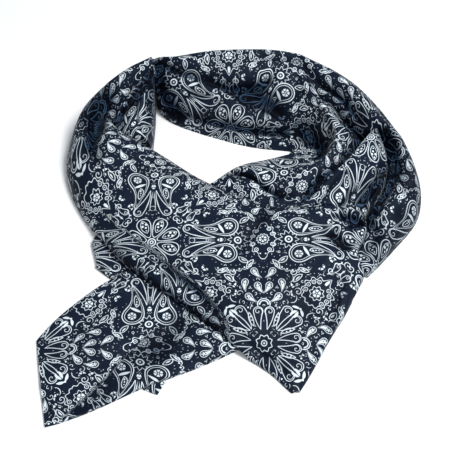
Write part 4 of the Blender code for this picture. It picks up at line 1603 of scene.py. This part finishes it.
    def rosette(self, pen: Drawing, made: Motifs) -> None:
        """Scrolling leaves round the repeat's middle.

        Args:
            pen: the pen.
            made: what has been drawn so far.
        """
        away, angle = pen.round_about(pen.frame_at((100.0, 100.0), 225.0), True)
        made.ink += [pen.line(pen.star(away, angle, 8, 7.4, 5.6), 0.4), pen.line(pen.grown(away, 2.3), 0.38),
                     pen.grown(away, 0.8)]
        for centre, facing, radius, length, bend in (
                ((95.0, 72.4), -84.0, 4.1, 15.5, 0.0160), ((79.4, 71.4), -136.0, 4.6, 18.5, -0.0150)):
            lines, shape = pen.scroll(centre, facing, radius, length, bend, self.bold * 0.85)
            made.ink += lines
            made.room.append(pen.grown(shape, 0.9))
        made.ink += [pen.line(pen.leaf((91.4, 85.4), (87.2, 73.4), 1.7, -0.5), 0.3),
                     pen.disc((88.6, 77.2), 0.7), pen.disc((89.8, 80.4), 0.6), pen.disc((86.4, 68.6), 0.8),
                     pen.disc((89.4, 66.6), 0.6)]
        made.room.append(pen.grown(away, 8.6))

    def scallops(self, pen: Drawing, made: Motifs) -> None:
        """Chain of small arches with a bead in each, round the drops.

        Args:
            pen: the pen.
            made: what has been drawn so far.
        """
        radius, arches, middle, half_span = 28.0, 36, 0.90, 0.62
        away, angle = pen.round_about(pen.frame_at((72.0, 4.0), 30.0), False)
        wave = pen.math("ABSOLUTE", pen.math("SINE", pen.math("MULTIPLY", angle, arches / 2.0)))
        chain = pen.line(pen.math("SUBTRACT", pen.grown(away, radius), pen.math("MULTIPLY", wave, 1.8)), 0.31)
        span = pen.math("SUBTRACT", pen.math("ABSOLUTE", pen.math("SUBTRACT", angle, middle)), half_span)
        turn = pen.math("PINGPONG", pen.math("SUBTRACT", angle, math.pi / arches), math.pi / arches)
        spot = pen.join(away, pen.math("MULTIPLY", turn, radius))
        bead = pen.grown(pen.vector("DISTANCE", spot, (radius - 0.4, 0.0, 0.0)).outputs[1], 0.82)
        made.ink += [pen.both(chain, span), pen.both(bead, span)]
        band = pen.line(pen.grown(away, 28.4), 3.0)
        made.room.append(pen.both(band, span))

    def seed_paisleys(self, pen: Drawing, made: Motifs) -> None:
        """Cluster of small filled paisleys beside the repeat's edge.

        Args:
            pen: the pen.
            made: what has been drawn so far.
        """
        spots = (((92.0, 33.0), 70.0), ((84.0, 44.0), 110.0), ((95.0, 47.5), 80.0), ((87.0, 58.0), 60.0))
        for spot, facing in spots:
            away, angle = pen.round_about(pen.bent(pen.frame_at(spot, facing + 180.0), 0.05), False)
            body = pen.contour(away, angle, [
                (-180, 9.0), (-172, 7.2), (-158, 5.0), (-135, 3.7), (-100, 3.2), (-50, 3.3), (0, 3.5),
                (50, 3.3), (100, 3.2), (135, 3.6), (158, 4.8), (172, 7.0), (180, 9.0)], False)
            gap = pen.line(body, 0.42, 0.95)
            eye = pen.blossom(away, angle, 5, 1.2, 0.75)
            dark = pen.both(pen.outside(gap), pen.outside(eye))
            made.ink.append(pen.both(body, dark))
            made.room.append(pen.grown(body, 0.7))

    def crescent(self, pen: Drawing, made: Motifs) -> None:
        """Beaded crescents and leaf pairs that fill the wide ground.

        Args:
            pen: the pen.
            made: what has been drawn so far.
        """
        away, angle = pen.round_about(pen.frame_at((100.0, 66.0), 90.0), True)
        made.ink += [pen.both(pen.line(pen.grown(away, 5.4), 0.4), pen.beyond(angle, 1.3)),
                     pen.both(pen.line(pen.grown(away, 3.6), 0.5), pen.beyond(angle, 1.5))]
        for start, end, half, lean in (
                ((78.6, 17.6), (86.6, 24.0), 2.2, 0.6), ((91.6, 21.6), (86.0, 30.6), 1.9, 0.8),
                ((66.0, 36.0), (73.5, 43.0), 2.2, -0.8), ((60.0, 33.0), (69.0, 29.5), 1.9, 0.4)):
            shape = pen.leaf(start, end, half, lean)
            middle = towards(start, end, 0.25), towards(start, end, 0.8)
            made.ink += [pen.line(shape, 0.33), pen.leaf(*middle, half * 0.3, lean * 0.5)]
            made.room.append(pen.grown(shape, 0.7))

    def tendrils(self, pen: Drawing, made: Motifs) -> None:
        """Thin tendrils with curled ends.

        Args:
            pen: the pen.
            made: what has been drawn so far.
        """
        for spot, facing, start, rise in (
                ((40.0, 31.0), 20.0, (29.0, 27.0), 3.0), ((70.0, 52.0), 200.0, (77.0, 63.0), -3.0),
                ((74.0, 33.5), 120.0, (77.5, 44.0), -2.2), ((24.0, 21.4), 300.0, (34.0, 25.0), 2.6)):
            away, angle = pen.round_about(pen.frame_at(spot, facing), False)
            end = towards(spot, start, 0.28)
            made.ink += [pen.curl(away, angle, 2.8, 3.5, 0.33), pen.stroke(start, end, rise, 0.36)]
            made.room.append(pen.grown(away, 3.9))

    def sprig(self, pen: Drawing, made: Motifs) -> None:
        """Small leafy sprig on the diagonal beyond the medallion.

        Args:
            pen: the pen.
            made: what has been drawn so far.
        """
        made.ink += [pen.leaf((68.4, 68.0), (75.6, 66.4), 1.25, -0.5),
                     pen.leaf((70.8, 70.2), (77.4, 74.4), 1.2, -0.4),
                     pen.disc((68.0, 68.0), 1.0), pen.disc((73.0, 70.6), 0.6)]
        made.room.append(pen.disc((71.5, 68.5), 5.0))

    def ground(self, pen: Drawing, cell: float, shift: Place) -> tuple[Socket, Socket, Socket]:
        """Scatter small places over the ground.

        Args:
            pen: the pen.
            cell: spacing of the places.
            shift: offset of the scatter.

        Returns:
            Distance and angle about the nearest place, turned at random, and its number from 0 to 1.
        """
        scatter = pen.tree.nodes.new("ShaderNodeTexVoronoi")
        scatter.voronoi_dimensions = "2D"
        moved = pen.vector("ADD", pen.point, (*shift, 0.0)).outputs[0]
        pen.tree.links.new(moved, scatter.inputs["Vector"])
        scatter.inputs["Scale"].default_value = 1.0 / cell
        scatter.inputs["Randomness"].default_value = self.unevenness
        local = pen.vector("SUBTRACT", moved, scatter.outputs["Position"]).outputs[0]
        away, angle = pen.round_about(local, False)
        chance, _ = pen.parts(scatter.outputs["Color"])
        return away, pen.math("MULTIPLY_ADD", chance, 2.0 * math.pi, angle), chance

    def ground_pattern(self, pen: Drawing) -> Socket:
        """Curls, small flowers, ringed dots and beads between the motifs.

        Args:
            pen: the pen.

        Returns:
            The shapes.
        """
        share_of_curls, far_off = 0.72, 9.0
        away, angle, chance = self.ground(pen, 11.6, (3.0, 7.0))
        curl = pen.curl(away, angle, 2.9, 3.2, self.fine)
        sprig = pen.blossom(away, angle, 5, 2.3, 1.0)
        pick = pen.math("GREATER_THAN", chance, share_of_curls)
        curls = pen.either(pen.math("ADD", curl, pen.math("MULTIPLY", pick, far_off)),
                           pen.math("ADD", sprig, pen.math("MULTIPLY_ADD", pick, -far_off, far_off)))
        ring_away, _, _ = self.ground(pen, 7.2, (1.0, 2.0))
        ring = pen.both(pen.line(pen.grown(ring_away, 0.95), self.fine), pen.beyond(away, 4.9))
        bead_away, _, _ = self.ground(pen, 4.2, (0.4, 0.9))
        bead = pen.both(pen.grown(bead_away, 0.33), pen.beyond(away, 3.9),
                        pen.beyond(ring_away, 1.8))
        return pen.either(curls, ring, bead)

    def draw(self, pen: Drawing, place: Socket) -> Socket:
        """Draw the whole print.

        Args:
            pen: the pen.
            place: place on the cloth, in millimetres.

        Returns:
            Signed distance to the ink.
        """
        self.fold(pen, place)
        made = Motifs()
        for motif in (self.flower, self.fan, self.star_flower, self.drop, self.medallion,
                      self.edge_medallion, self.rosette, self.scallops, self.seed_paisleys, self.crescent,
                      self.tendrils, self.sprig):
            motif(pen, made)
        clear = pen.beyond(pen.either(*made.room), self.clearance)
        ground = pen.both(self.ground_pattern(pen), clear)
        return pen.either(*made.ink, ground)


@dataclass(frozen=True)
class PrintedSilk:
    """Navy silk twill with a silver-white line print.

    Args:
        name: the material's name.
        pattern: the print.
        origin: place of the first flower's middle on the cloth, in millimetres.
        ground: colour of the dyed ground.
        ink: colour of the printed lines.
        edge: half of the width over which a line's edge fades, in millimetres.
        twill: spacing of the twill's ribs, in millimetres.
        crumple: size of the limp silk's small dents, in millimetres.
        deep: fold shade value, in millimetres of fold depth, at which the painted shade is darkest.
        shadow: share of red, green and blue that the painted shade leaves at its darkest.
        rib: height of the twill's ribs, in millimetres.
        dent: height of the small dents, in millimetres.
        relief_strength: strength of ribs and dents.
        dye_patch: size of the patches in which the dye varies, in millimetres.
        dye: least and greatest strength of the colours.
        lustre_patch: size of the patches in which the lustre varies, in millimetres.
        roughness: least and greatest roughness.
        specular: strength of the plain reflection.
        sheen: strength of the soft reflection at grazing angles.
        sheen_roughness: spread of that soft reflection.
    """

    name: str = "printed silk"
    pattern: PaisleyPrint = PaisleyPrint()
    origin: Place = (-76.7, -20.0)
    ground: Triple = (0.0070, 0.0130, 0.0270)
    ink: Triple = (0.70, 0.78, 0.83)
    edge: float = 0.10
    twill: float = 0.62
    crumple: float = 9.0
    deep: float = 8.0
    shadow: Triple = (0.05, 0.09, 0.15)
    rib: float = 0.022
    dent: float = 1.1
    relief_strength: float = 0.55
    dye_patch: float = 34.0
    dye: Pair = (0.88, 1.08)
    lustre_patch: float = 14.0
    roughness: Pair = (0.44, 0.58)
    specular: float = 0.06
    sheen: float = 0.04
    sheen_roughness: float = 0.35

    def colour(self, pen: Drawing, ink: Value, tone: Value, light: Value) -> Socket:
        """Mix the ground and the ink and darken them with painted shade in the folds, more blue than grey.

        Args:
            pen: the pen.
            ink: share of the ink.
            tone: slight unevenness of the dye.
            light: share of the colour that the painted shade leaves, 1 on open cloth, 0 deep in a fold.

        Returns:
            The colour.
        """
        # A colour mix takes its colours at inputs 6 and 7 and gives its result at output 2.
        mix = pen.tree.nodes.new("ShaderNodeMix")
        mix.data_type = "RGBA"
        pen.tree.links.new(ink, mix.inputs["Factor"])
        mix.inputs[6].default_value = (*self.ground, 1.0)
        mix.inputs[7].default_value = (*self.ink, 1.0)
        # Painted shade: deep in a fold only the shadow share of each colour is left.
        lifted = tuple(1.0 - share for share in self.shadow)
        painted_shade = pen.vector("MULTIPLY_ADD", light, lifted, self.shadow).outputs[0]
        toned = pen.vector("SCALE", mix.outputs[2])
        pen.tree.links.new(tone, toned.inputs["Scale"])
        return pen.vector("MULTIPLY", toned.outputs[0], painted_shade).outputs[0]

    def relief(self, pen: Drawing, cloth: Socket) -> Socket:
        """Twill ribs and small dents.

        Args:
            pen: the pen.
            cloth: place on the cloth, in millimetres.

        Returns:
            The bumped normal.
        """
        x, y = pen.parts(cloth)
        ribs = pen.math("SINE", pen.math("MULTIPLY", pen.math("ADD", x, y), 2.0 * math.pi / self.twill))
        dents = pen.noise(cloth, self.crumple, 3.0)
        height = pen.math("MULTIPLY_ADD", ribs, self.rib, pen.math("MULTIPLY", dents, self.dent))
        bump = pen.tree.nodes.new("ShaderNodeBump")
        bump.inputs["Strength"].default_value = self.relief_strength
        bump.inputs["Distance"].default_value = MM
        pen.tree.links.new(height, bump.inputs["Height"])
        return bump.outputs[0]

    def material(self) -> bpy.types.Material:
        """Make the silk's material.

        Returns:
            The material.
        """
        material = bpy.data.materials.new(self.name)
        material.use_nodes = True
        tree = material.node_tree
        shader = tree.nodes["Principled BSDF"]
        pen = Drawing(tree)
        flat_map = tree.nodes.new("ShaderNodeUVMap")
        flat_map.uv_map = "cloth"
        cloth = pen.vector("MULTIPLY", flat_map.outputs["UV"], (1.0 / MM, 1.0 / MM, 0.0)).outputs[0]
        relief = self.relief(pen, cloth)
        tone = pen.varied(cloth, self.dye_patch, self.dye)
        rough = pen.varied(cloth, self.lustre_patch, self.roughness)
        # Painted shade: the colour darkens with the painted fold shade kept on each vertex.
        depth = tree.nodes.new("ShaderNodeAttribute")
        depth.attribute_name = "painted_fold_shade"
        light = pen.spread(depth.outputs["Fac"], (0.0, 1.0), (self.deep, 0.0))
        place = pen.vector("SUBTRACT", cloth, (*self.origin, 0.0)).outputs[0]
        shape = self.pattern.draw(pen, place)
        ink = pen.spread(shape, (-self.edge, 1.0), (self.edge, 0.0))
        tree.links.new(self.colour(pen, ink, tone, light), shader.inputs["Base Color"])
        tree.links.new(rough, shader.inputs["Roughness"])
        tree.links.new(relief, shader.inputs["Normal"])
        shader.inputs["Specular IOR Level"].default_value = self.specular
        shader.inputs["Sheen Weight"].default_value = self.sheen
        shader.inputs["Sheen Roughness"].default_value = self.sheen_roughness
        return material


@dataclass(frozen=True)
class FloorPaint:
    """Plain pale matt paint of the floor.

    Args:
        name: the material's name.
        tint: its colour.
        roughness: its roughness.
    """

    name: str = "pale floor"
    tint: Triple = (0.93, 0.93, 0.93)
    roughness: float = 0.9

    def material(self) -> bpy.types.Material:
        """Make the paint's material.

        Returns:
            The material.
        """
        paint = bpy.data.materials.new(self.name)
        paint.use_nodes = True
        shader = paint.node_tree.nodes["Principled BSDF"]
        shader.inputs["Base Color"].default_value = (*self.tint, 1.0)
        shader.inputs["Roughness"].default_value = self.roughness
        return paint


@dataclass(frozen=True)
class Lamp:
    """Soft lamp with a square face.

    Args:
        name: the lamp's name.
        place: where it hangs, in metres.
        size: side of its face, in metres.
        power: its power in watts.
    """

    name: str
    place: Triple
    size: float
    power: float


@dataclass(frozen=True)
class Studio:
    """Camera, floor and soft light, in metres.

    Args:
        target: place that the camera looks at.
        elevation: angle of the camera over the floor, in degrees.
        distance: distance of the camera from its target.
        lens: focal length, in millimetres.
        sensor: width of the camera's sensor, in millimetres.
        sight: farthest distance that the camera sees.
        floor_size: side of the floor.
        floor_drop: how far the floor lies below the scarf.
        paint: the floor's finish.
        air_tint: colour of the surrounding light.
        air_strength: strength of the surrounding light.
        lamps: the soft lamps.
        lamp_target: place that the lamps look at.
    """

    target: Triple = (-0.0107, 0.0130, 0.0)
    elevation: float = 52.0
    distance: float = 1.15
    lens: float = 100.0
    sensor: float = 36.0
    sight: float = 20.0
    floor_size: float = 6.0
    floor_drop: float = 0.0002
    paint: FloorPaint = FloorPaint()
    air_tint: Triple = (0.86, 0.93, 1.0)
    air_strength: float = 0.36
    lamps: tuple[Lamp, ...] = (
        Lamp("key lamp", (0.62, -0.12, 1.45), 0.55, 25.0), Lamp("fill lamp", (-0.3, -0.9, 1.4), 1.0, 4.0))
    lamp_target: Triple = (0.0, 0.02, 0.02)

    def set_camera(self) -> None:
        """Place the camera at the photograph's angle."""
        camera = bpy.data.objects.new("camera", bpy.data.cameras.new("camera"))
        bpy.context.scene.collection.objects.link(camera)
        angle = math.radians(self.elevation)
        away = Vector((0.0, math.cos(angle), -math.sin(angle))) * self.distance
        camera.location = Vector(self.target) - away
        camera.rotation_euler = (math.radians(90.0) - angle, 0.0, 0.0)
        camera.data.sensor_width = self.sensor
        camera.data.lens = self.lens
        camera.data.clip_end = self.sight
        bpy.context.scene.camera = camera

    def lay_floor(self) -> None:
        """Lay the plain pale floor."""
        bm = bmesh.new()
        bmesh.ops.create_grid(bm, x_segments=1, y_segments=1, size=self.floor_size / 2.0)
        bmesh.ops.translate(bm, verts=bm.verts[:], vec=(0.0, 0.0, -self.floor_drop))
        mesh = bpy.data.meshes.new("floor")
        bm.to_mesh(mesh)
        bm.free()
        floor = bpy.data.objects.new("floor", mesh)
        bpy.context.scene.collection.objects.link(floor)
        mesh.materials.append(self.paint.material())

    def hang(self, lamp: Lamp) -> None:
        """Hang a lamp that looks at the scarf.

        Args:
            lamp: the lamp.
        """
        light = bpy.data.lights.new(lamp.name, "AREA")
        light.energy = lamp.power
        light.size = lamp.size
        item = bpy.data.objects.new(lamp.name, light)
        bpy.context.scene.collection.objects.link(item)
        item.location = lamp.place
        way = Vector(self.lamp_target) - Vector(lamp.place)
        item.rotation_euler = way.to_track_quat("-Z", "Y").to_euler()

    def light_up(self) -> None:
        """Set the even surrounding light and the soft lamps."""
        world = bpy.data.worlds.new("studio air")
        bpy.context.scene.world = world
        world.use_nodes = True
        backdrop = world.node_tree.nodes["Background"]
        backdrop.inputs["Color"].default_value = (*self.air_tint, 1.0)
        backdrop.inputs["Strength"].default_value = self.air_strength
        for lamp in self.lamps:
            self.hang(lamp)
        bpy.context.scene.view_settings.view_transform = "Standard"


@dataclass
class Scarf:
    """The whole scarf, its stretches laid in the order in which they rest on each other.

    Args:
        silk: the cloth's material.
        split: fraction across the back at which the right side parts into roll and outer layer.
        pinch_ease: fraction of the back over which it eases out of the pinch at its left end.
    """

    silk: bpy.types.Material
    split: float = 0.70
    pinch_ease: float = 0.24

    def lay(self, stretch: Stretch, tree: BVHTree | None = None) -> bpy.types.Object:
        """Build one stretch, dress it and report it.

        Args:
            stretch: the stretch.
            tree: search tree of what it is draped over.

        Returns:
            The finished piece.
        """
        item = stretch.build(tree)
        stretch.dress(item, self.silk)
        log.info("%s: %d faces", stretch.name, len(item.data.polygons))
        return item

    def build(self) -> None:
        """Lay every stretch."""
        carriers = [self.lay(stretch) for stretch in (TailUnder(), UnderLayerLeft(), UnderLayerLow())]
        front = FrontPanel()
        self.lay(front, search_tree(carriers))
        back = BackBand(meets=Meeting(front.surface[0], front.cloth[0], ease=self.pinch_ease))
        self.lay(back)
        self.lay(RightBand(meets=Meeting(back.surface[-1], back.cloth[-1], self.split, 1.0)))
        self.lay(RightInnerRoll(meets=Meeting(back.surface[-1], back.cloth[-1], 0.0, self.split)))
        self.lay(LeftInnerFold())
        self.lay(RightFlap())


def main() -> None:
    """Set the studio and build the scarf."""
    logging.basicConfig(level=logging.INFO, format="%(message)s")
    studio = Studio()
    studio.set_camera()
    studio.lay_floor()
    studio.light_up()
    Scarf(PrintedSilk().material()).build()


if __name__ == "__main__":
    main()
